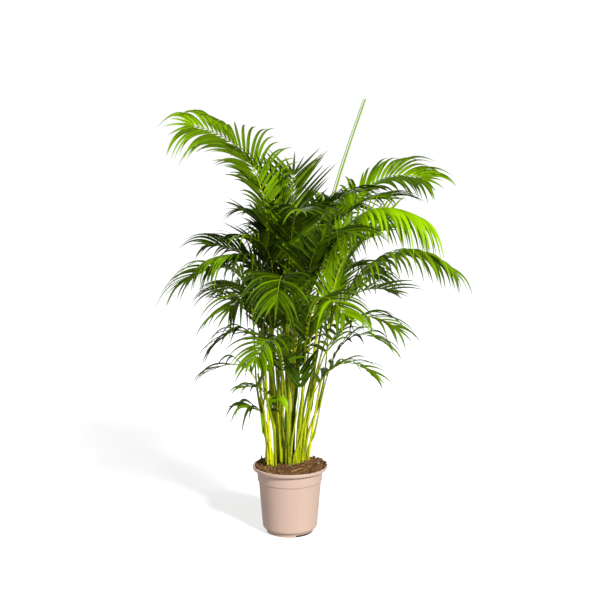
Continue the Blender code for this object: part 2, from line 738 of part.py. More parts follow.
def stalk_sections(frond, stalk):
    """Three corners for each section of a stalk, left, right and keel, and the sections' frames."""
    corners = []
    frames = []
    for share, centre in zip(stalk.shares, stalk.centres):
        spot = min(STALK_POINTS - 2, max(1, round(share * (STALK_POINTS - 1))))
        roll = frond.roll * min(1.0, share / frond.bare)
        frame = frame_at(stalk.path, spot, frond.azimuth + stalk.turn, roll)
        tangent, right, upper = frame
        radius = stalk_radius(share)
        corners.append(centre - right * radius + upper * (radius * UPPER_CORNER))
        corners.append(centre + right * radius + upper * (radius * UPPER_CORNER))
        corners.append(centre - upper * (radius * LOWER_CORNER))
        frames.append(frame)
    return corners, frames


def add_spike(vertices, faces, corners, spike):
    """Grows a leaflet out of three corners of the stalk, which it takes as its foot."""
    middle, tip = spike
    first = len(vertices)
    vertices += middle + [tip]
    names = (*corners, first, first + 1, first + 2, first + 3)
    faces += [tuple(names[i] for i in face) for face in SPIKE_FACES]


def make_frond(index, frond, stalk, parts, placed):
    rng = random.Random(1000 + index)
    trials = leaflet_trials()
    vertices, frames = stalk_sections(frond, stalk)
    last = len(vertices) - 3
    faces = [(0, 1, 2)]
    for k in range(len(frames) - 1):
        left, right, keel = 3 * k, 3 * k + 1, 3 * k + 2
        left_next, right_next, keel_next = left + 3, right + 3, keel + 3
        faces += [(left, right, right_next), (left, right_next, left_next)]
        faces += [(keel, left_next, keel_next), (keel, right_next, keel_next)]
        for side, corners in ((-1, (left, left_next, keel)), (1, (right_next, right, keel))):
            spike = None
            if k in stalk.starts:
                share = stalk.starts.index(k) / max(1, frond.pairs - 1)
                noise = [rng.uniform(-1, 1) for _ in range(3)]
                foot = [vertices[c] for c in corners]
                base = (foot[0] + foot[1]) / 2.0
                shapes = (leaflet_points(base, frames[k], side, frond, share, noise, t) for t in trials)
                spike = free_leaflet(foot, shapes, placed, index)
            if spike:
                add_spike(vertices, faces, corners, spike)
            else:
                faces.append(corners)
    end = (last, last + 1, last + 2)
    spike = None
    if frond.pairs > 1:
        shapes = (end_leaflet_points(stalk.centres[-1], frames[-1], frond, t) for t in trials)
        spike = free_leaflet([vertices[c] for c in end], shapes, placed, index)
    if spike:
        add_spike(vertices, faces, end, spike)
    else:
        faces.append(end)
    add_mesh(f"frond_{index + 1:02d}", vertices, faces, parts, "frond")


def end_leaflet_points(centre, frame, frond, trial):
    """The middle section and the tip of the leaflet that ends a rachis."""
    tangent, right, upper = frame
    lift, droop, swing, scale = trial
    length = frond.length * 0.5 * scale
    turned_by = right * math.tan(math.radians(swing)) + upper * math.tan(math.radians(lift))
    down = Vector((0.0, 0.0, -1.0))
    bend = max(0.0, frond.droop + droop)
    first = (tangent + turned_by + down * (0.12 * bend)).normalized()
    second = (tangent + turned_by + down * (0.45 * bend)).normalized()
    middle = centre + first * (length * LEAFLET_MID)
    tip = middle + second * (length * (1.0 - LEAFLET_MID))
    half = frond.width * 0.45
    return [middle - right * half, middle + right * half, middle - upper * LEAFLET_KEEL], tip


def free_leaflet(foot, shapes, placed, owner):
    """The first shape that touches nothing placed before it, or None."""
    for middle, tip in shapes:
        if min(v.z for v in middle + [tip]) < LOWEST_LEAF:
            continue
        centre = (middle[0] + middle[1] + middle[2]) / 3.0
        swollen = [v + (v - centre).normalized() * LEAFLET_GAP * 1.5 for v in middle]
        beyond = tip + (tip - centre).normalized() * LEAFLET_TIP_GAP
        whole = [*foot, *swollen, beyond]
        off_foot = [f.lerp(m, LEAFLET_FOOT_SHARE) for f, m in zip(foot, swollen)]
        trimmed = [*off_foot, *swollen, beyond]
        if not placed.touches(whole, trimmed, owner):
            placed.add(whole, SPIKE_FACES, owner)
            return middle, tip
    return None


def make_fronds(parts, bars):
    stalks = place_stalks(bars)
    placed = Placed()
    others = len(bars) - len(stalks)
    for i, bar in enumerate(bars):
        placed.add(*bar_shape(bar), i - others)
    for index, (frond, stalk) in enumerate(zip(FRONDS, stalks)):
        make_frond(index, frond, stalk, parts, placed)


# Spear leaf


def make_spear(parts):
    """The unopened leaf. Returns it as a bar, for the stalks to keep clear of."""
    cane = CANES[SPEAR_CANE - 1]
    top = cane_point(cane, cane.height)
    up = (top - cane_point(cane, cane.height * CANE_SHARES[-2])).normalized()
    points = [top + up * STALK_GAP, top + up * SPEAR_STRAIGHT]
    for x, y, height in SPEAR_POINTS:
        points.append(Vector((x * FROND_REACH, y * FROND_REACH, POT_HEIGHT + height * FROND_RISE)))
    radii = [SPEAR_RADIUS * share for share in SPEAR_TAPER] + [SPEAR_TIP_RADIUS]
    tube("spear_leaf", points, radii, parts, "spear_leaf", 1)
    return Bar(points, radii)


def main():
    clear_scene()
    parts = new_collection("potted_palm")
    cutters = new_collection("cutters")
    make_pot(parts, cutters)
    make_soil(parts, cutters)
    make_canes(parts)
    make_stub(parts)
    bars = [Bar(cane_path(cane), cane_radii(cane)) for cane in CANES]
    bars.append(make_spear(parts))
    make_fronds(parts, bars)


main()
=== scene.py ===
"""Potted areca palm: ribbed leaflets, ringed canes, potting mix and a moulded nursery pot."""

import math
import random
from typing import NamedTuple

import bmesh
import bpy
import numpy as np
from bpy.props import FloatProperty, FloatVectorProperty, IntProperty, PointerProperty
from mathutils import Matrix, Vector, noise


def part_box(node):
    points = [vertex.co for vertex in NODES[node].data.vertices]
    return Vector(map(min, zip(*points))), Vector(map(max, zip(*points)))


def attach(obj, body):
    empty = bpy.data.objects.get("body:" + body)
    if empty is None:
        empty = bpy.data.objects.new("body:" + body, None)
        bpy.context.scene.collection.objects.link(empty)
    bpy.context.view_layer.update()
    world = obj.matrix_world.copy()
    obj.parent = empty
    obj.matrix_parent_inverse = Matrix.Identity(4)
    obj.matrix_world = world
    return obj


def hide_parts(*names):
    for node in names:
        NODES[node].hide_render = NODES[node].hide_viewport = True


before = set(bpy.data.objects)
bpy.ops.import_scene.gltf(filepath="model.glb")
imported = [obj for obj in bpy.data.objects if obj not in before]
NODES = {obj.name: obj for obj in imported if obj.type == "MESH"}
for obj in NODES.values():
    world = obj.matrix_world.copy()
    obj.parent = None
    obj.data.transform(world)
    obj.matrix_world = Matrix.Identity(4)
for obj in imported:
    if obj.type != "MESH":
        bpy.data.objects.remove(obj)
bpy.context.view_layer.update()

bl_info = {
    "name": "Potted Palm",
    "version": (1, 0, 0),
    "blender": (4, 5, 0),
    "location": "View3D > Sidebar > Palm",
    "description": "Builds a potted areca palm leaf by leaf on its packed solids",
    "category": "Add Mesh",
}

POT_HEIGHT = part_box("pot")[1].z
RIM_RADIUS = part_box("pot")[1].x
FROND_NODES = sorted(name for name in NODES if name.startswith("frond"))
CANE_NODES = sorted(name for name in NODES if name.startswith("cane"))
BAKE_MAP = "OFBake"

# Counts of rows and columns in the finished surfaces
LEAFLET_ROWS = 12
LEAFLET_COLUMNS = (-1.0, -0.55, 0.0, 0.55, 1.0)
STALK_SIDES = 10
CANE_SIDES = 14
SPEAR_SIDES = 16
STUB_ROWS, STUB_SIDES = 9, 12
POT_SIDES = 120
BEND_STEPS = 4
MIX_RINGS, MIX_SIDES = 40, 150

# Empty border of a bake map cell on each side, as a share of its width and of its height
CELL_BORDER = (0.06, 0.03)


class Habit(NamedTuple):
    """How a frond grows. The values here are the usual ones."""

    # Added to its colour: above 0 is fresher, below 0 is darker. Besides the frond's own age it holds painted
    # light and shade, raised for fronds in the light and lowered for fronds in shade
    fresh_and_light: float = 0.0
    # How far the leaflets of a steep stalk follow it upwards
    upright: float = 0.85
    # How far the leaflets turn their faces forwards
    facing: float = 0.25
    # Distance between leaflets, to the spacing that is set
    sparse: float = 0.84
    # Width of the leaflets, to the width that is set
    broad: float = 1.0
    # Length of the leaflets, to the solid's
    long: float = 1.0
    # How far the tips hang, to the length of the leaflets
    droop: float = 0.0
    # Whether the stalk is one of the thickest and yellowest
    yellow_stalk: bool = False


# Fronds that don't grow in the usual way
HABITS = {
    "frond_01": Habit(fresh_and_light=0.54, upright=0.6, long=1.13),
    "frond_03": Habit(fresh_and_light=-0.22, broad=0.85, long=1.1, yellow_stalk=True),
    "frond_05": Habit(upright=0.3, long=1.12),
    "frond_06": Habit(upright=0.3, long=1.12),
    "frond_07": Habit(upright=0.3, long=1.12),
    "frond_08": Habit(upright=0.3, sparse=1.3, long=1.12),
    "frond_09": Habit(upright=0.3, sparse=1.4, long=1.12),
    "frond_10": Habit(upright=0.0, sparse=2.0, yellow_stalk=True),
    "frond_11": Habit(upright=0.0, facing=0.5, long=1.12, yellow_stalk=True),
    "frond_12": Habit(fresh_and_light=-0.1, upright=0.0, facing=0.6, broad=1.25),
    "frond_13": Habit(fresh_and_light=0.95, upright=0.0, facing=0.8, broad=1.1, droop=0.5),
    "frond_14": Habit(fresh_and_light=0.7, upright=0.0, facing=0.6, broad=1.2, droop=0.35),
    "frond_15": Habit(fresh_and_light=-0.05),
    "frond_16": Habit(fresh_and_light=0.5, upright=0.4, broad=1.15, long=1.15),
    "frond_17": Habit(fresh_and_light=0.52, upright=0.3, broad=1.3, long=1.15, droop=0.15, yellow_stalk=True),
    "frond_18": Habit(fresh_and_light=0.42, upright=0.3, broad=1.3, long=1.15, yellow_stalk=True),
    "frond_19": Habit(fresh_and_light=0.2, upright=0.3, sparse=1.0, broad=1.25, long=1.15),
    "frond_20": Habit(upright=0.3, sparse=1.3),
    "frond_21": Habit(upright=0.3, sparse=1.6, broad=1.2),
    "frond_22": Habit(upright=0.3, sparse=1.15, broad=1.2, long=1.15),
    "frond_23": Habit(upright=0.3, sparse=1.5, broad=1.2),
    "frond_24": Habit(fresh_and_light=-0.15),
    "frond_25": Habit(fresh_and_light=-0.12, yellow_stalk=True),
    "frond_26": Habit(upright=0.3, long=1.12),
    "frond_27": Habit(upright=0.3),
    "frond_28": Habit(long=1.15),
    "frond_33": Habit(fresh_and_light=-0.15),
    "frond_38": Habit(fresh_and_light=-0.15),
    "frond_39": Habit(long=1.15),
}

# The yellowest canes, and how ripe the three kinds of bark are, from green to yellow
RIPEST_CANES = ("cane_01", "cane_05", "cane_08", "cane_13")
RIPENESS = (0.40, 0.62, 0.90)

# Middle of the clump at the potting mix
CLUMP_MIDDLE = (-0.006, 0.020)

# The leaflets that end a full frond, each as its length, to the solid's, and its swing to the side
END_LEAFLETS = ((1.0, 0.0), (0.8, 0.34), (0.8, -0.34))

# Layers of the dry stub, each as its girth and height, to the solid's
STUB_LAYERS = ((1.0, 1.0), (0.8, 1.12), (0.55, 1.2))

# The pot's drain holes, its foot notches (degrees about its axis) and the hole that closes last in its floor
DRAIN_HOLES = 8
NOTCH_MIDDLES = (-47.0, 133.0)
NOTCH_HALF_WIDTH = 28.0
MIDDLE_RADIUS = 0.0015

# How far the potting mix has spilled outwards and upwards where the pot is fullest
SPILL_REACH = 0.0045
SPILL_HEIGHT = 0.0022

# Straws on the mix, each as its place, its turn, its length and its radius
STRAWS = (
    (0.022, -0.088, math.radians(46.0), 0.060, 0.0017),
    (-0.085, -0.040, math.radians(20.0), 0.030, 0.0010),
    (0.070, -0.050, math.radians(140.0), 0.030, 0.0008),
    (0.050, -0.083, math.radians(12.0), 0.034, 0.0008),
)

# The studio: half the floor's width, where its shade under the pot ends, the lights' places and their aim
FLOOR_REACH = 30.0
FOOT_SHADE = (0.079, 0.083)
KEY_PLACE = (2.37, -3.51, 3.35)
FILL_PLACE = (-2.2, -2.6, 1.2)
BACK_PLACE = (-1.2, 3.0, 2.3)
LIGHT_AIM = (0.0, 0.0, 0.7)

# Colours of marks and stains, and colours used for painted shade, which no setting holds
DRY_TIP = (0.30, 0.19, 0.06)
LEAF_UNDERSIDE = (0.10, 0.21, 0.004)
STALK_GREEN = (0.10, 0.19, 0.004)
STALK_END = (0.22, 0.36, 0.01)
STALK_STREAK = (0.09, 0.18, 0.003)
STALK_SPECK = (0.05, 0.035, 0.012)
CANE_SPECK = (0.05, 0.04, 0.012)
CANE_SOILED = (0.045, 0.024, 0.010)
PLASTIC_GRAIN = (0.33, 0.225, 0.175)
PLASTIC_FLOW = (0.36, 0.255, 0.205)
PLASTIC_SOILED = (0.24, 0.14, 0.08)
PLASTIC_FOOT = (0.33, 0.245, 0.20)
DARK_PATCH = (0.04, 0.018, 0.008)
PALE_PATCH = (0.20, 0.11, 0.05)
CHIP_GRAIN = (0.24, 0.115, 0.035)
PALE_CHIP = (0.42, 0.38, 0.32)
DARK_FIBRE = (0.13, 0.062, 0.024)
FIBRE_GRAIN = (0.45, 0.28, 0.10)
SPEAR_FOOT = (0.36, 0.50, 0.01)
SPEAR_TIP = (0.26, 0.44, 0.01)
SPEAR_STREAK = (0.10, 0.24, 0.006)
DARK_HUSK = (0.060, 0.022, 0.012)
PALE_HUSK = (0.21, 0.095, 0.050)
FLOOR_SHADE = (0.01, 0.01, 0.01)

# Starting values of colour and place sockets
WHITE = (1.0, 1.0, 1.0, 1.0)
PALE_GREY = (0.5, 0.5, 0.5, 1.0)
DARK_GREY = (0.2, 0.2, 0.2, 1.0)
ORIGIN = (0.0, 0.0, 0.0)

# Angle between a raised leaflet and its stalk
LEAFLET_ANGLE = math.radians(38.0)


# ---------------------------------------------------------------- settings


def colour_property(name, description, default):
    return FloatVectorProperty(
        name=name, description=description, default=default, subtype="COLOR", size=3, min=0.0, max=1.0
    )


def number_property(name, description, default, **limits):
    return FloatProperty(name=name, description=description, default=default, **limits)


def length_property(name, description, default):
    return number_property(name, description, default, min=0.0, unit="LENGTH", precision=4)


class PalmPotSettings(bpy.types.PropertyGroup):
    """Sizes and colours of the nursery pot."""

    lip_width: length_property("Lip width", "Width of the flat top of the lip", 0.008)
    lip_round: length_property("Lip rounding", "Radius of the lip's outer edge", 0.004)
    lip_drop: length_property("Lip drop", "Height of the flared part under the lip", 0.013)
    lip_overhang: length_property("Lip overhang", "How far the lip stands out over the collar", 0.0164)
    collar_height: length_property("Collar height", "From the rim down to the step", 0.053)
    collar_taper: length_property("Collar taper", "How far the collar narrows downwards", 0.002)
    collar_step: length_property("Collar step", "How far the body is set in below the collar", 0.0058)
    step_drop: length_property("Step height", "Height of the sloping step", 0.0035)
    body_taper: length_property("Body taper", "How far the body narrows to its bottom corner", 0.0137)
    corner_height: length_property("Corner height", "Height of the rounded bottom corner", 0.0215)
    foot_inset: length_property("Foot inset", "How far the foot ring is set in", 0.014)
    foot_height: length_property("Foot height", "Height of the foot ring", 0.011)
    foot_width: length_property("Foot width", "Thickness of the foot ring", 0.003)
    wall: length_property("Wall", "Thickness of the moulded wall", 0.0018)
    floor_height: length_property("Floor height", "Height of the floor's underside", 0.007)
    drain_radius: length_property("Drain hole radius", "Radius of each drain hole", 0.006)
    drain_circle: length_property("Drain circle", "Radius of the circle of drain holes", 0.055)
    plastic: colour_property("Plastic", "Colour of the moulded plastic", (0.552, 0.396, 0.318))
    scuffed: colour_property("Scuffed plastic", "Colour where the plastic is rubbed", (0.57, 0.425, 0.345))


class PalmMixSettings(bpy.types.PropertyGroup):
    """Amounts and colours of the potting mix."""

    chips: IntProperty(name="Bark chips", description="Number of loose chips", default=2200, min=0)
    fibres: IntProperty(name="Coir fibres", description="Number of loose fibres", default=420, min=0)
    mound: length_property("Mound", "How far the middle stands above the edge", 0.010)
    edge_drop: length_property("Edge drop", "How far the edge lies below the rim", 0.002)
    damp: colour_property("Damp mix", "Colour in the hollows", (0.012, 0.005, 0.002))
    dry: colour_property("Dry mix", "Colour of the dry crumbs", (0.34, 0.165, 0.080))
    straw: colour_property("Straw", "Colour of fibres and straws", (0.44, 0.27, 0.10))


class PalmCaneSettings(bpy.types.PropertyGroup):
    """Sizes and colours of the canes."""

    ring_spacing: length_property("Ring spacing", "Distance between leaf scars", 0.075)
    ring_swell: length_property("Ring swelling", "How far a leaf scar stands out", 0.0005)
    green: colour_property("Green", "Colour of the younger bark", (0.10, 0.19, 0.004))
    yellow: colour_property("Yellow", "Colour of the riper bark", (0.72, 0.69, 0.006))
    scar: colour_property("Scar", "Colour of the leaf scars", (0.075, 0.070, 0.018))


class PalmFrondSettings(bpy.types.PropertyGroup):
    """Sizes and colours of the fronds."""

    leaflet_spacing: length_property("Leaflet spacing", "Distance between leaflets on one side", 0.0200)
    leaflet_width: number_property("Leaflet width", "Widest part, to the solid's", 0.98)
    stalk_girth: number_property("Stalk girth", "Stalk's radius, to the solid's", 1.22, min=0.1)
    shoot_radius: length_property("Shoot radius", "Radius of a leaf's base at the potting mix", 0.0042)
    fold: number_property("Fold", "Slope of each half blade", 0.36, min=0.0)
    deep: colour_property("Deep green", "Colour of an old leaflet", (0.005, 0.017, 0.0002))
    bright: colour_property("Bright green", "Colour of a young leaflet", (0.30, 0.55, 0.001))
    rib: colour_property("Midrib", "Colour of the midribs", (0.26, 0.42, 0.02))
    stalk: colour_property("Stalk", "Colour of petioles and rachises", (0.58, 0.62, 0.005))


class PalmStageSettings(bpy.types.PropertyGroup):
    """The studio: camera, floor and lights."""

    lens: number_property("Lens", "Focal length in millimetres", 72.52, unit="CAMERA")
    camera: FloatVectorProperty(
        name="Camera",
        description="Place of the camera",
        default=(0.036, -4.184, 1.466),
        subtype="TRANSLATION",
    )
    tilt: number_property("Tilt", "Camera's tilt down", math.radians(8.54), unit="ROTATION")
    floor: colour_property("Floor", "Colour of the studio floor", (0.54, 0.54, 0.54))
    floor_glow: number_property("Floor glow", "Light that the floor adds for the eye", 0.62)
    key_power: number_property("Key light", "Strength of the key light", 4.7, min=0.0)
    key_size: number_property("Key size", "Angle that the key fills", math.radians(10.0), unit="ROTATION")
    fill_power: number_property("Fill light", "Power of the fill light", 24.0, unit="POWER")
    back_power: number_property("Back light", "Power of the back light", 55.0, unit="POWER")
    ambient: number_property("Ambient light", "Strength of the surrounding light", 0.12)


# ---------------------------------------------------------------- shader building


def add_node(tree, kind, inputs=None, **settings):
    """A shader node with its settings and its inputs, each given as a plain value or a socket."""
    item = tree.nodes.new("ShaderNode" + kind)
    for key, value in settings.items():
        setattr(item, key, value)
    for key, value in (inputs or {}).items():
        if isinstance(value, bpy.types.NodeSocket):
            tree.links.new(value, item.inputs[key])
        else:
            item.inputs[key].default_value = value
    return item


def maths(tree, operation, first, second=0.0, clamp=False):
    item = add_node(tree, "Math", {0: first, 1: second}, operation=operation, use_clamp=clamp)
    return item.outputs[0]


def blend_colours(tree, share, first, second):
    """One colour socket from two colours, each a socket or a plain (r, g, b)."""
    item = tree.nodes.new("ShaderNodeMix")
    item.data_type = "RGBA"
    for index, value in ((0, share), (6, first), (7, second)):
        if isinstance(value, bpy.types.NodeSocket):
            tree.links.new(value, item.inputs[index])
        elif index == 0:
            item.inputs[index].default_value = value
        else:
            item.inputs[index].default_value = (*value, 1.0)
    return item.outputs[2]


def tint(tree, mask, amount, base, over):
    """A base colour with another laid over it where a mask is, up to an amount."""
    return blend_colours(tree, maths(tree, "MULTIPLY", mask, amount), base, over)


def ramp(tree, value, low, high, to_low=0.0, to_high=1.0):
    """A value stretched from the range low to high onto another range, and held inside it."""
    item = add_node(
        tree,
        "MapRange",
        {"Value": value, "From Min": low, "From Max": high, "To Min": to_low, "To Max": to_high},
    )
    return item.outputs["Result"]


def attribute(tree, name):
    return add_node(tree, "Attribute", attribute_name=name).outputs["Fac"]


def noise_texture(tree, place, scale, detail, roughness):
    inputs = {"Vector": place, "Scale": scale, "Detail": detail, "Roughness": roughness}
    return add_node(tree, "TexNoise", inputs).outputs["Fac"]


def start_group(name, inputs, outputs):
    """A shader node group with named sockets. Returns it with its inputs and its inner end node."""
    tree = bpy.data.node_groups.new(name, "ShaderNodeTree")
    for label, default in inputs.items():
        kind = "Float" if isinstance(default, float) else "Color" if len(default) == 4 else "Vector"
        socket = tree.interface.new_socket(name=label, in_out="INPUT", socket_type="NodeSocket" + kind)
        socket.default_value = default
    for label in outputs:
        kind = "Color" if label == "Color" else "Float"
        tree.interface.new_socket(name=label, in_out="OUTPUT", socket_type="NodeSocket" + kind)
    return tree, tree.nodes.new("NodeGroupInput").outputs, tree.nodes.new("NodeGroupOutput")


def finish_group(tree, end, results):
    for label, value in results.items():
        tree.links.new(value, end.inputs[label])
    return tree


def mottle_group():
    """Soft cloudy variation between two colours."""
    inputs = {"Vector": ORIGIN, "Scale": 20.0, "Contrast": 0.5, "First": DARK_GREY, "Second": PALE_GREY}
    tree, given, end = start_group("Palm Mottle", inputs, ("Color", "Mask"))
    cloud = noise_texture(tree, given["Vector"], given["Scale"], 5.0, 0.62)
    half = maths(tree, "MULTIPLY", given["Contrast"], -0.5)
    low = maths(tree, "ADD", half, 0.5)
    high = maths(tree, "SUBTRACT", 0.5, half)
    mask = ramp(tree, cloud, high, low)
    colour = blend_colours(tree, mask, given["Second"], given["First"])
    return finish_group(tree, end, {"Color": colour, "Mask": mask})


def streaks_group():
    """Long fine streaks: noise that is drawn out along the third axis."""
    inputs = {"Vector": ORIGIN, "Across": 400.0, "Along": 12.0, "Seed": 0.0}
    tree, given, end = start_group("Palm Streaks", inputs, ("Mask", "Height"))
    stretch = add_node(tree, "CombineXYZ", {"X": given["Across"], "Y": given["Across"], "Z": given["Along"]})
    drawn = add_node(tree, "VectorMath", {0: given["Vector"], 1: stretch.outputs[0]}, operation="MULTIPLY")
    settings = {"Vector": drawn.outputs[0], "W": given["Seed"], "Scale": 1.0, "Detail": 4.0, "Roughness": 0.7}
    grain = add_node(tree, "TexNoise", settings, noise_dimensions="4D").outputs["Fac"]
    return finish_group(tree, end, {"Mask": ramp(tree, grain, 0.38, 0.62), "Height": grain})


def specks_group():
    """Small scattered round specks."""
    inputs = {"Vector": ORIGIN, "Scale": 300.0, "Size": 0.18}
    tree, given, end = start_group("Palm Specks", inputs, ("Mask",))
    cells = add_node(tree, "TexVoronoi", {"Vector": given["Vector"], "Scale": given["Scale"]})
    patches = noise_texture(tree, given["Vector"], 45.0, 2.0, 0.5)
    reach = maths(tree, "MULTIPLY", ramp(tree, patches, 0.45, 0.65), given["Size"])
    mask = maths(tree, "LESS_THAN", cells.outputs["Distance"], reach)
    return finish_group(tree, end, {"Mask": mask})


def veins_group():
    """Parallel veins along a leaflet, from its across and along places."""
    inputs = {"Across": 0.0, "Along": 0.0, "Seed": 0.0, "Count": 9.0}
    tree, given, end = start_group("Palm Veins", inputs, ("Rib", "Height", "Streak"))
    across = given["Across"]
    half_turns = maths(tree, "MULTIPLY", given["Count"], math.pi)
    wave = maths(tree, "SINE", maths(tree, "MULTIPLY", across, half_turns))
    place = add_node(
        tree,
        "CombineXYZ",
        {
            "X": maths(tree, "MULTIPLY", across, 7.0),
            "Y": maths(tree, "MULTIPLY", given["Along"], 3.0),
            "Z": maths(tree, "MULTIPLY", given["Seed"], 60.0),
        },
    )
    streak = noise_texture(tree, place.outputs[0], 1.0, 4.0, 0.6)
    rib = ramp(tree, maths(tree, "ABSOLUTE", across), 0.05, 0.13, 1.0, 0.0)
    height = maths(tree, "ADD", maths(tree, "MULTIPLY", wave, 0.22), streak)
    height = maths(tree, "ADD", height, rib)
    return finish_group(tree, end, {"Rib": rib, "Height": height, "Streak": ramp(tree, streak, 0.36, 0.64)})


GROUP_MAKERS = {
    "Palm Mottle": mottle_group,
    "Palm Streaks": streaks_group,
    "Palm Specks": specks_group,
    "Palm Veins": veins_group,
}


def place_group(tree, name, inputs):
    """A placed copy of a shared group, which is built the first time that it is wanted."""
    item = tree.nodes.new("ShaderNodeGroup")
    item.node_tree = bpy.data.node_groups.get(name) or GROUP_MAKERS[name]()
    for key, value in inputs.items():
        if isinstance(value, bpy.types.NodeSocket):
            tree.links.new(value, item.inputs[key])
        elif item.inputs[key].type == "RGBA":
            item.inputs[key].default_value = (*value, 1.0)
        else:
            item.inputs[key].default_value = value
    return item


def start_material(name, roughness, shine=0.5):
    """A new material. Returns it with its node tree and its Principled shader."""
    material = bpy.data.materials.new(name)
    material.use_nodes = True
    tree = material.node_tree
    shader = tree.nodes["Principled BSDF"]
    shader.inputs["Roughness"].default_value = roughness
    shader.inputs["Specular IOR Level"].default_value = shine
    return material, tree, shader


def finish_surface(tree, shader, colour, height, distance, roughness=None, strength=1.0):
    """Joins a colour, a bump height and an optional roughness to the Principled shader."""
    tree.links.new(colour, shader.inputs["Base Color"])
    bump = add_node(tree, "Bump", {"Height": height, "Distance": distance, "Strength": strength})
    tree.links.new(bump.outputs["Normal"], shader.inputs["Normal"])
    if roughness is not None:
        tree.links.new(roughness, shader.inputs["Roughness"])


def object_place(tree):
    return add_node(tree, "TexCoord").outputs["Object"]


def streaks_at(tree, place, across, along, seed):
    inputs = {"Vector": place, "Across": across, "Along": along, "Seed": seed}
    return place_group(tree, "Palm Streaks", inputs)


def specks_at(tree, place, scale, size):
    return place_group(tree, "Palm Specks", {"Vector": place, "Scale": scale, "Size": size}).outputs["Mask"]


def mottle_at(tree, place, scale, contrast, **colours):
    inputs = {"Vector": place, "Scale": scale, "Contrast": contrast, **colours}
    return place_group(tree, "Palm Mottle", inputs)


def leaflet_material(settings):
    """Old to young green with painted light and shade mixed in, with veins, a pale midrib, a dry tip and a
    duller underside.
    """
    material, tree, shader = start_material("palm_leaflet", 0.36, 0.06)
    across, along, tone = attribute(tree, "across"), attribute(tree, "along"), attribute(tree, "tone")
    veins = place_group(tree, "Palm Veins", {"Across": across, "Along": along, "Seed": tone, "Count": 8.0})
    mottle = mottle_at(tree, object_place(tree), 28.0, 0.4)
    # The tone attribute holds each leaflet's own age and also painted light and shade: lit fronds brighter,
    # shaded fronds and the clump's middle darker
    freshness_and_light = maths(tree, "ADD", tone, maths(tree, "MULTIPLY", mottle.outputs["Mask"], 0.16))
    freshness_and_light = maths(tree, "ADD", freshness_and_light, maths(tree, "MULTIPLY", veins.outputs["Streak"], 0.10))
    freshness_and_light = maths(tree, "SUBTRACT", freshness_and_light, 0.09, clamp=True)
    blade = blend_colours(tree, freshness_and_light, settings.deep, settings.bright)
    ribbed = tint(tree, veins.outputs["Rib"], 0.40, blade, settings.rib)
    tipped = tint(tree, ramp(tree, along, 0.965, 0.995), ramp(tree, tone, 0.20, 0.55), ribbed, DRY_TIP)
    underside = blend_colours(tree, 0.12, tipped, LEAF_UNDERSIDE)
    behind = add_node(tree, "NewGeometry").outputs["Backfacing"]
    colour = blend_colours(tree, behind, tipped, underside)
    roughness = ramp(tree, veins.outputs["Streak"], 0.0, 1.0, 0.26, 0.40)
    finish_surface(tree, shader, colour, veins.outputs["Height"], 0.0004, roughness, 0.7)
    return material


def stalk_material(settings):
    """Yellow to green along the stalk, darker green as painted shade on the stalks at the back of the clump,
    with streaks, and with dark specks near its foot.
    """
    material, tree, shader = start_material("palm_stalk", 0.42, 0.2)
    along, tone = attribute(tree, "along"), attribute(tree, "tone")
    place = object_place(tree)
    streaks = streaks_at(tree, place, 330.0, 12.0, tone)
    # The tone holds each stalk's own green and, for stalks at the back of the clump, painted shade
    young = blend_colours(tree, tone, settings.stalk, STALK_GREEN)
    greener = blend_colours(tree, ramp(tree, along, 0.65, 1.0, 0.0, 0.45), young, STALK_END)
    streaked = tint(tree, streaks.outputs["Mask"], 0.75, greener, STALK_STREAK)
    low = ramp(tree, along, 0.0, 0.30, 0.8, 0.0)
    colour = tint(tree, specks_at(tree, place, 420.0, 0.24), low, streaked, STALK_SPECK)
    finish_surface(tree, shader, colour, streaks.outputs["Height"], 0.0004, strength=0.6)
    return material


def cane_material(settings, name, ripeness):
    """Bark of one cane: green to yellow streaks, dark ringed scars and small specks."""
    material, tree, shader = start_material(name, 0.36, 0.2)
    ring, low = attribute(tree, "ring"), attribute(tree, "low")
    place = object_place(tree)
    streaks = streaks_at(tree, place, 190.0, 5.0, 8.0 * ripeness)
    wide = mottle_at(tree, place, 18.0, 0.3)
    ripe = maths(tree, "ADD", maths(tree, "MULTIPLY", streaks.outputs["Mask"], 0.85), ripeness - 0.55)
    ripe = maths(tree, "ADD", ripe, maths(tree, "MULTIPLY", wide.outputs["Mask"], 0.30), clamp=True)
    bark = blend_colours(tree, ripe, settings.green, settings.yellow)
    speckled = tint(tree, specks_at(tree, place, 380.0, 0.26), 0.75, bark, CANE_SPECK)
    ringed = tint(tree, ring, 0.6, speckled, settings.scar)
    colour = tint(tree, low, 0.85, ringed, CANE_SOILED)
    height = maths(tree, "SUBTRACT", streaks.outputs["Height"], maths(tree, "MULTIPLY", ring, 0.8))
    roughness = ramp(tree, maths(tree, "MAXIMUM", ring, low), 0.0, 1.0, 0.34, 0.8)
    finish_surface(tree, shader, colour, height, 0.0005, roughness, 0.7)
    return material


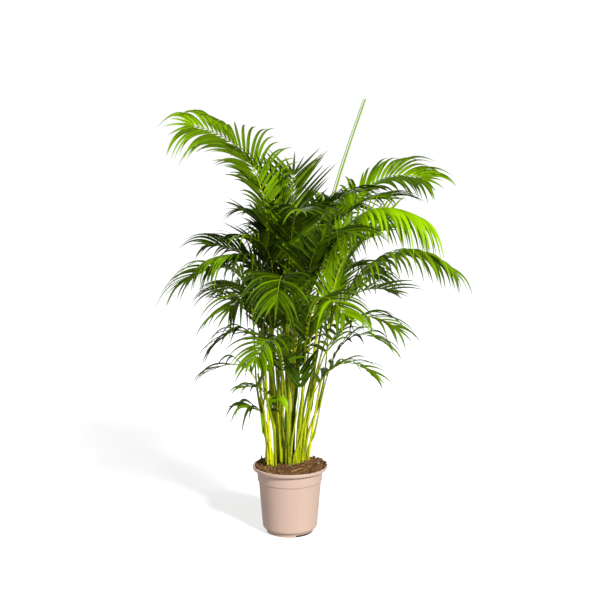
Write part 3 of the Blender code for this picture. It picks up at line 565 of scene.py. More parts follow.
def plastic_material(settings):
    """Moulded plastic: cloudy, finely grained, with flow marks, soil by the rim and a foot that is darker
    towards the bottom.
    """
    material, tree, shader = start_material("pot_plastic", 0.46, 0.26)
    place = object_place(tree)
    rise = attribute(tree, "rise")
    fine = noise_texture(tree, place, 900.0, 3.0, 0.6)
    grain = noise_texture(tree, place, 260.0, 4.0, 0.7)
    flow = streaks_at(tree, place, 26.0, 3.0, 3.0)
    cloud = mottle_at(tree, place, 14.0, 0.5, First=settings.plastic, Second=settings.scuffed)
    body = blend_colours(tree, 0.78, cloud.outputs["Color"], settings.plastic)
    body = blend_colours(tree, ramp(tree, grain, 0.35, 0.65, 0.0, 0.16), body, PLASTIC_GRAIN)
    flowed = tint(tree, flow.outputs["Mask"], 0.10, body, PLASTIC_FLOW)
    near_rim = ramp(tree, rise, 0.80, 0.97, 0.05, 0.55)
    soiled = tint(tree, specks_at(tree, place, 260.0, 0.17), near_rim, flowed, PLASTIC_SOILED)
    colour = blend_colours(tree, ramp(tree, rise, 0.0, 0.06, 0.35, 0.0), soiled, PLASTIC_FOOT)
    roughness = ramp(tree, cloud.outputs["Mask"], 0.0, 1.0, 0.34, 0.48)
    finish_surface(tree, shader, colour, maths(tree, "ADD", fine, grain), 0.0004, roughness, 0.6)
    return material


def mix_material(settings):
    """Crumbs of damp and dry potting mix, paler in patches."""
    material, tree, shader = start_material("potting_mix", 0.92, 0.1)
    place = object_place(tree)
    crumbs = add_node(tree, "TexVoronoi", {"Vector": place, "Scale": 330.0, "Randomness": 1.0})
    cloud = mottle_at(tree, place, 190.0, 0.3, First=settings.damp, Second=settings.dry)
    patches = mottle_at(tree, place, 40.0, 0.4, First=DARK_PATCH, Second=PALE_PATCH)
    colour = blend_colours(tree, 0.25, cloud.outputs["Color"], patches.outputs["Color"])
    height = maths(tree, "ADD", crumbs.outputs["Distance"], cloud.outputs["Mask"])
    finish_surface(tree, shader, colour, height, 0.002)
    return material


def chip_material(settings):
    """Grained bark, from damp to dry, with a few pale chips."""
    material, tree, shader = start_material("bark_chips", 0.88, 0.1)
    tone = attribute(tree, "tone")
    grain = streaks_at(tree, object_place(tree), 900.0, 260.0, tone)
    base = blend_colours(tree, tone, settings.damp, settings.dry)
    grained = tint(tree, grain.outputs["Mask"], 0.5, base, CHIP_GRAIN)
    colour = blend_colours(tree, ramp(tree, tone, 0.988, 0.992), grained, PALE_CHIP)
    finish_surface(tree, shader, colour, grain.outputs["Height"], 0.0006)
    return material


def fibre_material(settings):
    """Coir and straw with a fine grain."""
    material, tree, shader = start_material("coir_fibres", 0.8, 0.1)
    tone = attribute(tree, "tone")
    grain = streaks_at(tree, object_place(tree), 1500.0, 500.0, tone)
    base = blend_colours(tree, tone, DARK_FIBRE, settings.straw)
    colour = tint(tree, grain.outputs["Mask"], 0.35, base, FIBRE_GRAIN)
    finish_surface(tree, shader, colour, grain.outputs["Height"], 0.0002)
    return material


def spear_material():
    """Fresh green of the unopened leaf, with fine veins."""
    material, tree, shader = start_material("spear_leaf_skin", 0.38, 0.15)
    across, along = attribute(tree, "across"), attribute(tree, "along")
    veins = place_group(tree, "Palm Veins", {"Across": across, "Along": along, "Seed": 0.3, "Count": 10.0})
    base = blend_colours(tree, along, SPEAR_FOOT, SPEAR_TIP)
    colour = tint(tree, veins.outputs["Streak"], 0.4, base, SPEAR_STREAK)
    finish_surface(tree, shader, colour, veins.outputs["Height"], 0.0004)
    return material


def husk_material():
    """Dry brown fibres of the broken shoot."""
    material, tree, shader = start_material("dry_husk", 0.85)
    streaks = streaks_at(tree, object_place(tree), 900.0, 60.0, 0.0)
    colour = blend_colours(tree, streaks.outputs["Mask"], DARK_HUSK, PALE_HUSK)
    finish_surface(tree, shader, colour, streaks.outputs["Height"], 0.0008)
    return material


# ---------------------------------------------------------------- mesh building


def unit(vectors):
    vectors = np.asarray(vectors, float)
    return vectors / np.maximum(np.linalg.norm(vectors, axis=-1, keepdims=True), 1e-12)


def smoothstep(values):
    values = np.clip(values, 0.0, 1.0)
    return values * values * (3.0 - 2.0 * values)


def new_object(name, data):
    """An object with its data, linked into the scene."""
    obj = bpy.data.objects.new(name, data)
    bpy.context.scene.collection.objects.link(obj)
    return obj


class Surfaces:
    """Grids of points collected into one mesh, each with its own part of the bake map."""

    def __init__(self, *value_names):
        self.points = []
        self.faces = []
        self.uvs = []
        self.values = {name: [] for name in value_names}
        self.count = 0

    def grid(self, points, cell=(0.0, 0.0, 1.0, 1.0), closed=False, **values):
        """Adds rows and columns of points. A closed grid's last column joins its first."""
        points = np.asarray(points, float)
        rows, columns = points.shape[:2]
        spans = columns if closed else columns - 1
        i, j = np.meshgrid(np.arange(rows - 1), np.arange(spans), indexing="ij")
        i, j = i.ravel(), j.ravel()
        beside = (j + 1) % columns
        corners = [i * columns + j, i * columns + beside, (i + 1) * columns + beside, (i + 1) * columns + j]
        self.faces.append(np.stack(corners, axis=1) + self.count)
        u0, v0, u1, v1 = cell
        across = u0 + (u1 - u0) * np.stack([j, j + 1, j + 1, j], axis=1) / spans
        along = v0 + (v1 - v0) * np.stack([i, i, i + 1, i + 1], axis=1) / (rows - 1)
        self.uvs.append(np.stack([across, along], axis=2).reshape(-1, 2))
        self.points.append(points.reshape(-1, 3))
        self.count += rows * columns
        for name, store in self.values.items():
            store.append(np.broadcast_to(values.get(name, 0.0), (rows, columns)).ravel())

    def piece(self, name, material, slot, smooth=True):
        """The finished mesh object, riding on the frame, with its material."""
        mesh = bpy.data.meshes.new(name)
        faces = np.concatenate(self.faces)
        mesh.from_pydata(np.concatenate(self.points).tolist(), [], faces.tolist())
        layer = mesh.uv_layers.new(name=BAKE_MAP)
        layer.data.foreach_set("uv", np.concatenate(self.uvs).astype(np.float32).ravel())
        for label, store in self.values.items():
            data = mesh.attributes.new(label, "FLOAT", "POINT").data
            data.foreach_set("value", np.concatenate(store).astype(np.float32))
        mesh.polygons.foreach_set("use_smooth", [smooth] * len(faces))
        mesh.materials.append(material)
        obj = new_object(name, mesh)
        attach(obj, "root")
        return obj


def map_cells(count, aspect):
    """Equal cells of the bake map, side by side in rows, for count strips of a height-to-width ratio."""
    columns = min(count, math.ceil(math.sqrt(count * aspect)))
    rows = math.ceil(count / columns)
    beside, below = CELL_BORDER[0] / columns, CELL_BORDER[1] / rows
    cells = []
    for k in range(count):
        u, v = (k % columns) / columns, (k // columns) / rows
        cells.append((u + beside, v + below, u + 1.0 / columns - beside, v + 1.0 / rows - below))
    return cells


def ring_points(centres, first, second, radii, sides, shape=None):
    """Rings of points around centres, in the plane of two unit vectors for each."""
    angles = 2.0 * math.pi * np.arange(sides) / sides
    reach = radii[:, None] * (1.0 if shape is None else shape)
    turns = angles[None, :, None]
    spokes = first[:, None, :] * np.cos(turns) + second[:, None, :] * np.sin(turns)
    return centres[:, None, :] + spokes * np.broadcast_to(reach, (len(centres), sides))[:, :, None]


def smooth_along(known, values, wanted):
    """Values at the wanted places of a smooth curve through the known ones."""
    slopes = np.gradient(values, known, axis=0)
    spot = np.clip(np.searchsorted(known, wanted, side="right") - 1, 0, len(known) - 2)
    step = known[spot + 1] - known[spot]
    t = ((wanted - known[spot]) / step)[:, None]
    step = step[:, None]
    return (
        values[spot] * (1 + 2 * t) * (1 - t) ** 2
        + slopes[spot] * step * t * (1 - t) ** 2
        + values[spot + 1] * t**2 * (3 - 2 * t)
        + slopes[spot + 1] * step * t**2 * (t - 1)
    )


def places_along(line):
    """Distance of each point of a line from its first one."""
    steps = np.linalg.norm(np.diff(line, axis=0), axis=1)
    return np.concatenate([[0.0], np.cumsum(steps)])


def directions_along(line, across=(0.0, 1.0, 0.0)):
    """Unit vectors ahead along a line, to its right and up, square to a direction across it."""
    ahead = unit(np.gradient(line, axis=0))
    right = unit(np.cross(ahead, across))
    return ahead, right, np.cross(right, ahead)


# ---------------------------------------------------------------- reading the solids


def welded(name):
    """A solid's corners, and for each of them the corners that it shares an edge with."""
    mesh = NODES[name].data
    spots = np.empty(len(mesh.vertices) * 3, np.float32)
    mesh.vertices.foreach_get("co", spots)
    points, names = np.unique(np.round(spots.reshape(-1, 3), 6), axis=0, return_inverse=True)
    names = names.ravel()
    joined = [set() for _ in points]
    for face in mesh.polygons:
        corners = [int(names[v]) for v in face.vertices]
        for a in corners:
            joined[a].update(b for b in corners if b != a)
    return points.astype(float), joined


def spread_of(points, members):
    return max(np.linalg.norm(points[a] - points[b]) for a in members for b in members)


def widest_pair(points, members):
    """The two corners of three that are farthest apart, and then the third."""
    members = list(members)
    gaps = {k: np.linalg.norm(points[members[k - 1]] - points[members[k - 2]]) for k in range(3)}
    last = max(gaps, key=gaps.get)
    return members[last - 1], members[last - 2], members[last]


class Skeleton:
    """A frond's stalk and leaflets, read from its solid's corners."""

    def __init__(self, name):
        points, joined = welded(name)
        tips = [v for v in range(len(points)) if self.is_tip(points, joined, v)]
        middles = {v for tip in tips for v in joined[tip]}
        stalk = set(range(len(points))) - set(tips) - middles
        rings = self.rings(points, joined, stalk)
        self.centres = np.array([points[list(ring)].mean(axis=0) for ring in rings])
        edges = [widest_pair(points, ring) for ring in rings]
        self.radii = np.array([np.linalg.norm(points[a] - points[b]) / 2.0 for a, b, keel in edges])
        self.upper = unit([(points[a] + points[b]) / 2.0 - points[keel] for a, b, keel in edges])
        self.places = places_along(self.centres)
        self.ahead = unit(np.gradient(self.centres, self.places, axis=0))
        self.right = unit(np.cross(self.ahead, self.upper))
        ring_of = {v: k for k, ring in enumerate(rings) for v in ring}
        self.leaflets = {-1: [], 1: []}
        self.end = None
        for tip in tips:
            self.read_leaflet(points, joined, tip, ring_of)
        for side in self.leaflets.values():
            side.sort(key=lambda leaflet: leaflet[0])

    @staticmethod
    def is_tip(points, joined, v):
        if len(joined[v]) != 3:
            return False
        nearest = min(np.linalg.norm(points[v] - points[w]) for w in joined[v])
        return nearest > 0.6 * spread_of(points, joined[v])

    @staticmethod
    def rings(points, joined, stalk):
        lowest = min(stalk, key=lambda v: points[v][2])
        near = sorted(stalk, key=lambda v: np.linalg.norm(points[v] - points[lowest]))
        rings = [near[:3]]
        seen = set(near[:3])
        while True:
            ring = {w for v in rings[-1] for w in joined[v]} & stalk - seen
            if not ring:
                return rings
            rings.append(sorted(ring))
            seen |= ring

    def read_leaflet(self, points, joined, tip, ring_of):
        """One row of numbers for a leaflet: its middle and tip from its foot, its edge and its width."""
        a, b, _ = widest_pair(points, joined[tip])
        middle = (points[a] + points[b]) / 2.0
        base = [v for m in joined[tip] for v in joined[m] if v in ring_of]
        ring = min(ring_of[v] for v in base)
        width = np.linalg.norm(points[a] - points[b])
        if ring >= len(self.centres) - 1:
            self.end = (middle - self.centres[-1], points[tip] - self.centres[-1], width)
            return
        place = (self.places[ring] + self.places[ring + 1]) / 2.0
        foot = (self.centres[ring] + self.centres[ring + 1]) / 2.0
        edge = unit(points[a] - points[b])
        if edge @ self.ahead[ring] < 0.0:
            edge = -edge
        side = 1 if (middle - foot) @ self.right[ring] > 0.0 else -1
        row = np.concatenate([middle - foot, points[tip] - foot, edge, [width]])
        self.leaflets[side].append((place, row))


def tube_rings(name):
    """Middles and radii of a tube's sections, from the lowest up."""
    points, _ = welded(name)
    points = points[np.argsort(points[:, 2])]
    cuts = np.flatnonzero(np.diff(points[:, 2]) > 0.006) + 1
    rings = [ring for ring in np.split(points, cuts) if len(ring) > 2]
    centres = np.array([ring.mean(axis=0) for ring in rings])
    radii = np.array([np.linalg.norm(ring - centre, axis=1).max() for ring, centre in zip(rings, centres)])
    return centres, radii


CANE_AXES = {name: tube_rings(name) for name in CANE_NODES}


def cane_at(name, heights):
    """Middle and radius of a cane at some heights above the floor."""
    centres, radii = CANE_AXES[name]
    spots = smooth_along(centres[:, 2], np.column_stack([centres[:, :2], radii]), np.asarray(heights, float))
    return np.column_stack([spots[:, :2], heights]), spots[:, 2]


def nearest_cane(point):
    """The cane that a petiole starts beside."""
    best = None
    for name, (centres, _) in CANE_AXES.items():
        height = min(max(point[2], centres[0][2]), centres[-1][2])
        middle, _ = cane_at(name, [height])
        gap = np.linalg.norm(middle[0] - point)
        if best is None or gap < best[0]:
            best = (gap, name)
    return best[1]


# ---------------------------------------------------------------- fronds


def leaflet_points(foot, middle, tip, edge, width, fold, twist, droop):
    """A ribbed blade, folded along its midrib, arching from its foot through its middle to its tip."""
    t = np.linspace(0.0, 1.0, LEAFLET_ROWS)
    along = t[:, None]
    straight = (8.0 * (middle - foot) - (tip - foot)) / 3.0
    line = foot + straight * along + (tip - foot - straight) * along**3
    line[:, 2] -= droop * t**3
    ahead = unit(np.gradient(line, axis=0))
    side = unit(edge - ahead * (ahead @ edge)[:, None])
    face = np.cross(side, ahead)
    if face[:, 2].sum() < 0.0:
        side, face = -side, -face
    turn = (twist * t)[:, None]
    turned = side * np.cos(turn) + face * np.sin(turn)
    raised = face * np.cos(turn) - side * np.sin(turn)
    half = width / 2.0 * np.maximum(0.22 * (1.0 - t), np.sin(math.pi * t**0.55) ** 0.8)
    half[-1] = 0.00015
    slope = fold * (1.0 - 0.55 * t) + 0.9 * np.exp(-((t / 0.07) ** 2))
    columns = np.array(LEAFLET_COLUMNS)
    spread = half[:, None] * columns
    sunk = (slope * half)[:, None] * (np.abs(columns) ** 1.2)
    points = line[:, None, :] + turned[:, None, :] * spread[:, :, None]
    return points - raised[:, None, :] * sunk[:, :, None], t


def leaflet_rows(bones, side, settings, rng, sparse):
    """Evenly spaced leaflets of one side: place along the stalk and the numbers of each."""
    known = bones.leaflets[side]
    if not known:
        return []
    places = np.array([place for place, _ in known])
    rows = np.array([row for _, row in known])
    spacing = max(settings.leaflet_spacing, rows[:, -1].mean() * 1.3) * sparse
    count = max(len(known) if len(known) < 4 else 0, round((places[-1] - places[0]) / spacing) + 1)
    if count <= len(known):
        return known
    wanted = np.linspace(places[0], places[-1], count)
    wanted[1:-1] += rng.uniform(-0.16, 0.16, count - 2) * spacing
    filled = np.column_stack([np.interp(wanted, places, rows[:, k]) for k in range(rows.shape[1])])
    return list(zip(wanted, filled))


def raised_leaflet(ahead, middle, tip, upright):
    """A leaflet's middle and tip, turned towards the stalk's heading where the stalk stands steeply."""
    share = upright * float(smoothstep((ahead[2] - 0.35) / 0.45))
    long = np.linalg.norm(tip)
    outward = unit(tip - ahead * (ahead @ tip))
    wanted = ahead * math.cos(LEAFLET_ANGLE) + outward * math.sin(LEAFLET_ANGLE)
    raised_tip = unit(unit(tip) * (1.0 - share) + wanted * share) * long
    raised_middle = unit(unit(middle) * (1.0 - share) + wanted * share) * np.linalg.norm(middle)
    return raised_middle, raised_tip


def frond_leaflets(bones, settings, rng, habit):
    """Every leaflet of a frond, as (foot, middle, tip, edge, width)."""
    found = []
    for side in (-1, 1):
        for place, row in leaflet_rows(bones, side, settings, rng, habit.sparse):
            centre = smooth_along(bones.places, bones.centres, np.array([place]))[0]
            right = np.array([np.interp(place, bones.places, bones.right[:, k]) for k in range(3)])
            radius = np.interp(place, bones.places, bones.radii)
            foot = centre + right * (side * radius * 0.75)
            ahead = np.array([np.interp(place, bones.places, bones.ahead[:, k]) for k in range(3)])
            middle, tip = raised_leaflet(unit(ahead), row[0:3], row[3:6], habit.upright)
            size = 1.0 + rng.uniform(-0.07, 0.07)
            sway = rng.normal(0.0, 0.035, 3) * np.linalg.norm(tip)
            middle = foot + middle * size + sway * 0.35
            tip = foot + tip * size + sway
            found.append((foot, middle, tip, row[6:9], row[9]))
    if bones.end is not None:
        middle, tip, width = bones.end
        foot = bones.centres[-1]
        right = bones.right[-1]
        for share, swing in END_LEAFLETS if len(bones.leaflets[1]) > 4 else END_LEAFLETS[:1]:
            aside = right * (np.linalg.norm(tip) * swing)
            end_middle = foot + middle * share + aside * 0.5
            found.append((foot, end_middle, foot + tip * share + aside, right, width * 0.9))
    return found


def make_leaflets(name, bones, settings, material, rng):
    """One frond's leaflets. Those of the clump's middle are darker, as painted shade where older fronds shade
    them.
    """
    habit = HABITS.get(name, Habit())
    # Painted light and shade: the habit's value raises the tone of lit fronds and lowers that of shaded ones,
    # on top of their own age
    freshness_and_light = habit.fresh_and_light + rng.uniform(0.0, 0.32)
    leaflets = frond_leaflets(bones, settings, rng, habit)
    cells = map_cells(len(leaflets), 9.0)
    surfaces = Surfaces("across", "along", "tone")
    for cell, (foot, middle, tip, edge, width) in zip(cells, leaflets):
        middle, tip = foot + (middle - foot) * habit.long, foot + (tip - foot) * habit.long
        length = np.linalg.norm(tip - foot)
        forward = unit(np.cross(tip - foot, (0.0, 1.0, 0.0)))
        forward = forward if forward @ edge > 0.0 else -forward
        points, along = leaflet_points(
            foot,
            middle,
            tip,
            unit(edge * (1.0 - habit.facing) + forward * habit.facing),
            width * settings.leaflet_width * habit.broad * rng.uniform(0.9, 1.08),
            settings.fold * rng.uniform(0.7, 1.3),
            rng.normal(0.0, 0.30),
            length * (rng.uniform(0.0, 0.05) + habit.droop),
        )
        # Painted shade: the nearer a leaflet's foot is to the clump's middle, the darker its tone
        inside = 1.0 - float(smoothstep((math.hypot(foot[0], foot[1]) - 0.07) / 0.20))
        tone = np.clip(freshness_and_light + rng.normal(0.0, 0.17) + 0.06 - 0.22 * inside, 0.0, 1.0)
        surfaces.grid(points, cell, across=np.array(LEAFLET_COLUMNS), along=along[:, None], tone=tone)
    piece = surfaces.piece(f"{name}_leaflets", material, "leaf")
    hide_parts(name)


def shoot_rows(bones, settings, rng):
    """Middles and radii of a leaf's base, from the potting mix up its cane to the foot of its petiole."""
    start = bones.centres[0]
    ground = POT_HEIGHT + 0.004
    if start[2] - ground < 0.04:
        return np.empty((0, 3)), np.empty(0)
    cane = nearest_cane(start)
    share = np.linspace(0.0, 1.0, 8 + int((start[2] - ground) / 0.03))
    heights = ground + (start[2] - ground) * share
    middles, radii = cane_at(cane, np.minimum(heights, CANE_AXES[cane][0][-1][2]))
    middles[:, 2] = heights
    aside = start - middles[-1]
    to_middle = CLUMP_MIDDLE - middles[0, :2]
    inwards = math.atan2(to_middle[1], to_middle[0]) + rng.uniform(-1.3, 1.3)
    slack = min(1.0, (start[2] - ground) / 0.3)
    near = (radii + settings.shoot_radius + rng.uniform(0.0, 0.010) * slack)[:, None] * (0.4 + 0.6 * slack)
    blend = smoothstep((share - 0.35) / 0.65)[:, None]
    low = near * np.array([math.cos(inwards), math.sin(inwards)])
    middles[:, :2] += low * (1.0 - blend) + aside[:2] * blend
    swelling = 0.0011 * np.exp(-(((share - 0.86) / 0.10) ** 2))
    widths = settings.shoot_radius * (1.0 - share) + bones.radii[0] * settings.stalk_girth * share + swelling
    return middles[:-1], widths[:-1]


def make_stalk(name, bones, settings, material, rng):
    """Petiole and rachis: grooved above, rounded below, swollen at the foot and fine at the tip."""
    rows = 16 + int(bones.places[-1] / 0.02)
    places = bones.places[-1] * np.linspace(0.0, 1.0, rows)
    centres = smooth_along(bones.places, bones.centres, places)
    share = places / places[-1]
    yellowest = HABITS.get(name, Habit()).yellow_stalk
    finest = (0.0030 if yellowest else 0.0020) - 0.0012 * smoothstep((share - 0.5) / 0.5)
    radii = np.maximum(np.interp(places, bones.places, bones.radii) * settings.stalk_girth, finest)
    upper = smooth_along(bones.places, bones.upper, places)
    shoot, widths = shoot_rows(bones, settings, rng)
    centres = np.vstack([shoot, centres])
    radii = np.concatenate([widths, radii])
    upper = np.vstack([np.repeat(upper[:1], len(shoot), axis=0), upper])
    share = np.concatenate([np.zeros(len(shoot)), share])
    ahead = unit(np.gradient(centres, axis=0))
    upper = unit(upper - ahead * (ahead * upper).sum(axis=1)[:, None])
    right = unit(np.cross(ahead, upper))
    angles = 2.0 * math.pi * np.arange(STALK_SIDES) / STALK_SIDES
    groove = np.maximum(0.0, np.cos(angles - math.pi / 2.0)) ** 4
    grooved = smoothstep(np.concatenate([np.zeros(len(shoot)), places / 0.08]))
    shape = 1.0 - 0.42 * grooved[:, None] * (1.0 - share[:, None]) * groove[None, :]
    surfaces = Surfaces("along", "tone")
    # Each stalk's own random green, and painted shade that turns the stalks starting at the back of the clump
    # dark green
    greenness_and_back_shade = max(rng.uniform(0.0, 0.85) ** 1.6, 0.95 * float(smoothstep(bones.centres[0][1] / 0.08)))
    tone = 0.0 if yellowest else greenness_and_back_shade
    points = ring_points(centres, right, upper, radii, STALK_SIDES, shape)
    surfaces.grid(points, closed=True, along=share[:, None], tone=tone)
    piece = surfaces.piece(f"{name}_stalk", material, "cane")
    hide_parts(name)


class PALM_OT_fronds(bpy.types.Operator):
    """Builds every frond: its sheath, grooved stalk and folded, ribbed leaflets."""

    bl_idname = "palm.fronds"
    bl_label = "Fronds"

    def execute(self, context):
        settings = context.scene.palm_fronds
        blades = leaflet_material(settings)
        stalks = stalk_material(settings)
        for index, name in enumerate(FROND_NODES):
            rng = np.random.default_rng(40 + index)
            bones = Skeleton(name)
            make_leaflets(name, bones, settings, blades, rng)
            make_stalk(name, bones, settings, stalks, rng)
        return {"FINISHED"}


# ---------------------------------------------------------------- canes


def make_cane(name, settings, material, rng):
    """One cane: a tapering stem with swollen leaf scars, closed by a short point at its top."""
    centres, _ = CANE_AXES[name]
    low, high = centres[0][2], centres[-1][2]
    first = POT_HEIGHT + 0.012 + rng.uniform(0.0, 0.02)
    scars = np.arange(first, high, settings.ring_spacing) + rng.uniform(-0.006, 0.006)
    heights = np.linspace(low, high, 46)
    beside = np.concatenate([scars - 0.003, scars - 0.001, scars + 0.001, scars + 0.003])
    heights = np.unique(np.round(np.concatenate([heights, beside[(beside > low) & (beside < high)]]), 5))
    middles, radii = cane_at(name, heights)
    ring = np.exp(-(((heights[:, None] - scars[None, :]) / 0.0016) ** 2)).max(axis=1)
    radii = radii * rng.uniform(0.84, 1.0) + settings.ring_swell * ring - 0.00015
    steps = np.array([0.35, 0.7, 0.9, 1.0])
    peak = middles[-1] + np.outer(steps, unit(middles[-1] - middles[-2]) * 0.012)
    middles = np.vstack([middles, peak])
    radii = np.concatenate([radii, radii[-1] * np.sqrt(1.0 - (steps * 0.995) ** 2)])
    ring = np.concatenate([ring, np.zeros(len(steps))])
    bare = smoothstep((POT_HEIGHT + 0.022 - middles[:, 2]) / 0.016)
    _, right, upper = directions_along(middles)
    surfaces = Surfaces("ring", "low")
    points = ring_points(middles, right, upper, radii, CANE_SIDES)
    surfaces.grid(points, closed=True, ring=ring[:, None], low=bare[:, None])
    piece = surfaces.piece(f"{name}_stem", material, "cane")
    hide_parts(name)


class PALM_OT_canes(bpy.types.Operator):
    """Builds the clump of ringed canes."""

    bl_idname = "palm.canes"
    bl_label = "Canes"

    def execute(self, context):
        settings = context.scene.palm_canes
        barks = [cane_material(settings, f"cane_bark_{k}", ripe) for k, ripe in enumerate(RIPENESS, 1)]
        for index, name in enumerate(CANE_NODES):
            rng = np.random.default_rng(500 + index)
            ripest = name in RIPEST_CANES
            make_cane(name, settings, barks[2] if ripest else barks[index % 2], rng)
        return {"FINISHED"}


# ---------------------------------------------------------------- spear leaf and dry stub


class PALM_OT_spear_leaf(bpy.types.Operator):
    """Builds the unopened leaf, pleated and tapering, with a strand that is coming loose."""

    bl_idname = "palm.spear_leaf"
    bl_label = "Spear leaf"

    def execute(self, context):
        centres, radii = tube_rings("spear_leaf")
        known = places_along(centres)
        places = np.linspace(0.0, known[-1], 70)
        line = smooth_along(known, centres, places)
        reach = np.maximum(np.interp(places, known, radii) * 1.12, 0.0026)
        share = places / places[-1]
        _, right, upper = directions_along(line)
        pleats = 1.0 - 0.06 * (np.arange(SPEAR_SIDES) % 2)
        material = spear_material()
        surfaces = Surfaces("across", "along")
        across = np.linspace(-1.0, 1.0, SPEAR_SIDES)
        points = ring_points(line, right, upper, reach, SPEAR_SIDES, pleats[None, :])
        surfaces.grid(points, (0.0, 0.0, 0.6, 1.0), closed=True, across=across[None, :], along=share[:, None])
        away = 0.0080 * smoothstep((share - 0.05) / 0.3) * (1.0 - 0.35 * share)
        strand = line + right * (reach * 0.5 + away)[:, None]
        thin = np.interp(share, [0.0, 0.3, 0.97, 1.0], [0.0006, 0.0018, 0.0014, 0.0008])
        keep = share > 0.02
        points = ring_points(strand[keep], right[keep], upper[keep], thin[keep], 6)
        surfaces.grid(points, (0.65, 0.0, 1.0, 1.0), closed=True, across=0.5, along=share[keep][:, None])
        piece = surfaces.piece("spear_leaf_pleats", material, "young_leaf")
        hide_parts("spear_leaf")
        return {"FINISHED"}


class PALM_OT_dry_stub(bpy.types.Operator):
    """Builds the dry, frayed shoot at the edge of the potting mix."""

    bl_idname = "palm.dry_stub"
    bl_label = "Dry stub"

    def execute(self, context):
        centres, radii = tube_rings("dry_stub")
        rng = np.random.default_rng(9)
        surfaces = Surfaces()
        shares = np.linspace(0.0, 1.0, STUB_ROWS)
        axes = [np.tile(axis, (STUB_ROWS, 1)) for axis in ((1.0, 0.0, 0.0), (0.0, 1.0, 0.0))]
        for k, (girth, height) in enumerate(STUB_LAYERS):
            line = np.column_stack([np.interp(shares * 2.0, (0, 1, 2), places) for places in centres.T])
            line[:, 2] = centres[0, 2] + (line[:, 2] - centres[0, 2]) * height
            reach = radii[0] * (1.0 - 0.3 * shares) * girth * 1.2
            rings = ring_points(line, *axes, reach, STUB_SIDES)
            rings[-1, :, 2] += rng.uniform(-0.003, 0.003, STUB_SIDES)
            rings[5:, :, :2] += rng.normal(0.0, 0.00025, (STUB_ROWS - 5, STUB_SIDES, 2))
            surfaces.grid(rings, (k / 3.0, 0.0, (k + 0.95) / 3.0, 1.0), closed=True)
        piece = surfaces.piece("dry_stub_husk", husk_material(), "dry_stem")
        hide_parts("dry_stub")
        return {"FINISHED"}


# ---------------------------------------------------------------- pot


def circle_points(centre, radius, angles):
    return [(centre[0] + radius * math.cos(a), centre[1] + radius * math.sin(a)) for a in angles]


def arc(centre, radius, first, last, count):
    """Points on an arc of the profile, its angles in degrees from the outward direction."""
    return circle_points(centre, radius, np.radians(np.linspace(first, last, count)))


def rounded(points, radius):
    """A profile with each inner corner cut back by a radius and rounded."""
    result = [points[0]]
    for before, corner, after in zip(points, points[1:], points[2:]):
        before, corner, after = (np.array(p, float) for p in (before, corner, after))
        back = min(radius, np.linalg.norm(before - corner) * 0.45)
        on = min(radius, np.linalg.norm(after - corner) * 0.45)
        start = corner + unit(before - corner) * back
        end = corner + unit(after - corner) * on
        for t in np.linspace(0.0, 1.0, BEND_STEPS):
            result.append(tuple(start * (1 - t) ** 2 + corner * 2 * t * (1 - t) + end * t**2))
    result.append(points[-1])
    return result


def pot_profile(pot):
    """Radius and height from the middle of the floor's top, over the lip and round to its underside."""
    collar = RIM_RADIUS - pot.lip_overhang
    collar_bottom = POT_HEIGHT - pot.collar_height
    body_top = collar - pot.collar_step
    body_foot = body_top - pot.body_taper
    foot = body_foot - pot.foot_inset
    floor_top = pot.floor_height + pot.wall
    inside = [
        (MIDDLE_RADIUS, floor_top),
        (foot - pot.wall, floor_top),
        (body_foot - pot.wall, pot.corner_height + pot.wall),
        (body_top - pot.wall, collar_bottom - pot.step_drop),
        (collar - pot.collar_taper - pot.wall, collar_bottom),
        (collar - pot.wall, POT_HEIGHT - pot.lip_drop),
        (RIM_RADIUS - pot.lip_width, POT_HEIGHT - 0.0012),
    ]
    lip = arc((RIM_RADIUS - pot.lip_round, POT_HEIGHT - pot.lip_round), pot.lip_round, 105, -5, 9)
    lip += arc((RIM_RADIUS - 0.0034, POT_HEIGHT - pot.lip_drop + 0.0022), 0.0014, 0, -120, 6)
    outside = [
        (RIM_RADIUS - 0.0060, POT_HEIGHT - pot.lip_drop + 0.0024),
        (collar + 0.0018, POT_HEIGHT - pot.lip_drop + 0.0016),
        (collar, POT_HEIGHT - pot.lip_drop - 0.002),
        (collar - pot.collar_taper, collar_bottom),
        (body_top, collar_bottom - pot.step_drop),
        (body_foot, pot.corner_height + 0.002),
        (body_foot - 0.0022, pot.corner_height - 0.0035),
        (body_foot - 0.0065, pot.corner_height - 0.0075),
        (foot + 0.0022, pot.foot_height + 0.0016),
        (foot - 0.0010, pot.foot_height + 0.0006),
        (foot + 0.0004, pot.foot_height - 0.0010),
        (foot, 0.0),
        (foot - pot.foot_width, 0.0),
        (foot - pot.foot_width, pot.floor_height),
        (MIDDLE_RADIUS, pot.floor_height),
    ]
    return rounded(inside, 0.0012)[:-1] + lip + rounded([lip[-1]] + outside, 0.0016)[1:]


def cutter(name, points, faces):
    mesh = bpy.data.meshes.new(name)
    mesh.from_pydata(points, [], faces)
    return new_object(name, mesh)


def prism(outline, low, high):
    """Corners and faces of an upright prism over an outline."""
    count = len(outline)
    points = [(x, y, low) for x, y in outline] + [(x, y, high) for x, y in outline]
    faces = [tuple(reversed(range(count))), tuple(range(count, 2 * count))]
    faces += [(k, (k + 1) % count, (k + 1) % count + count, k + count) for k in range(count)]
    return points, faces


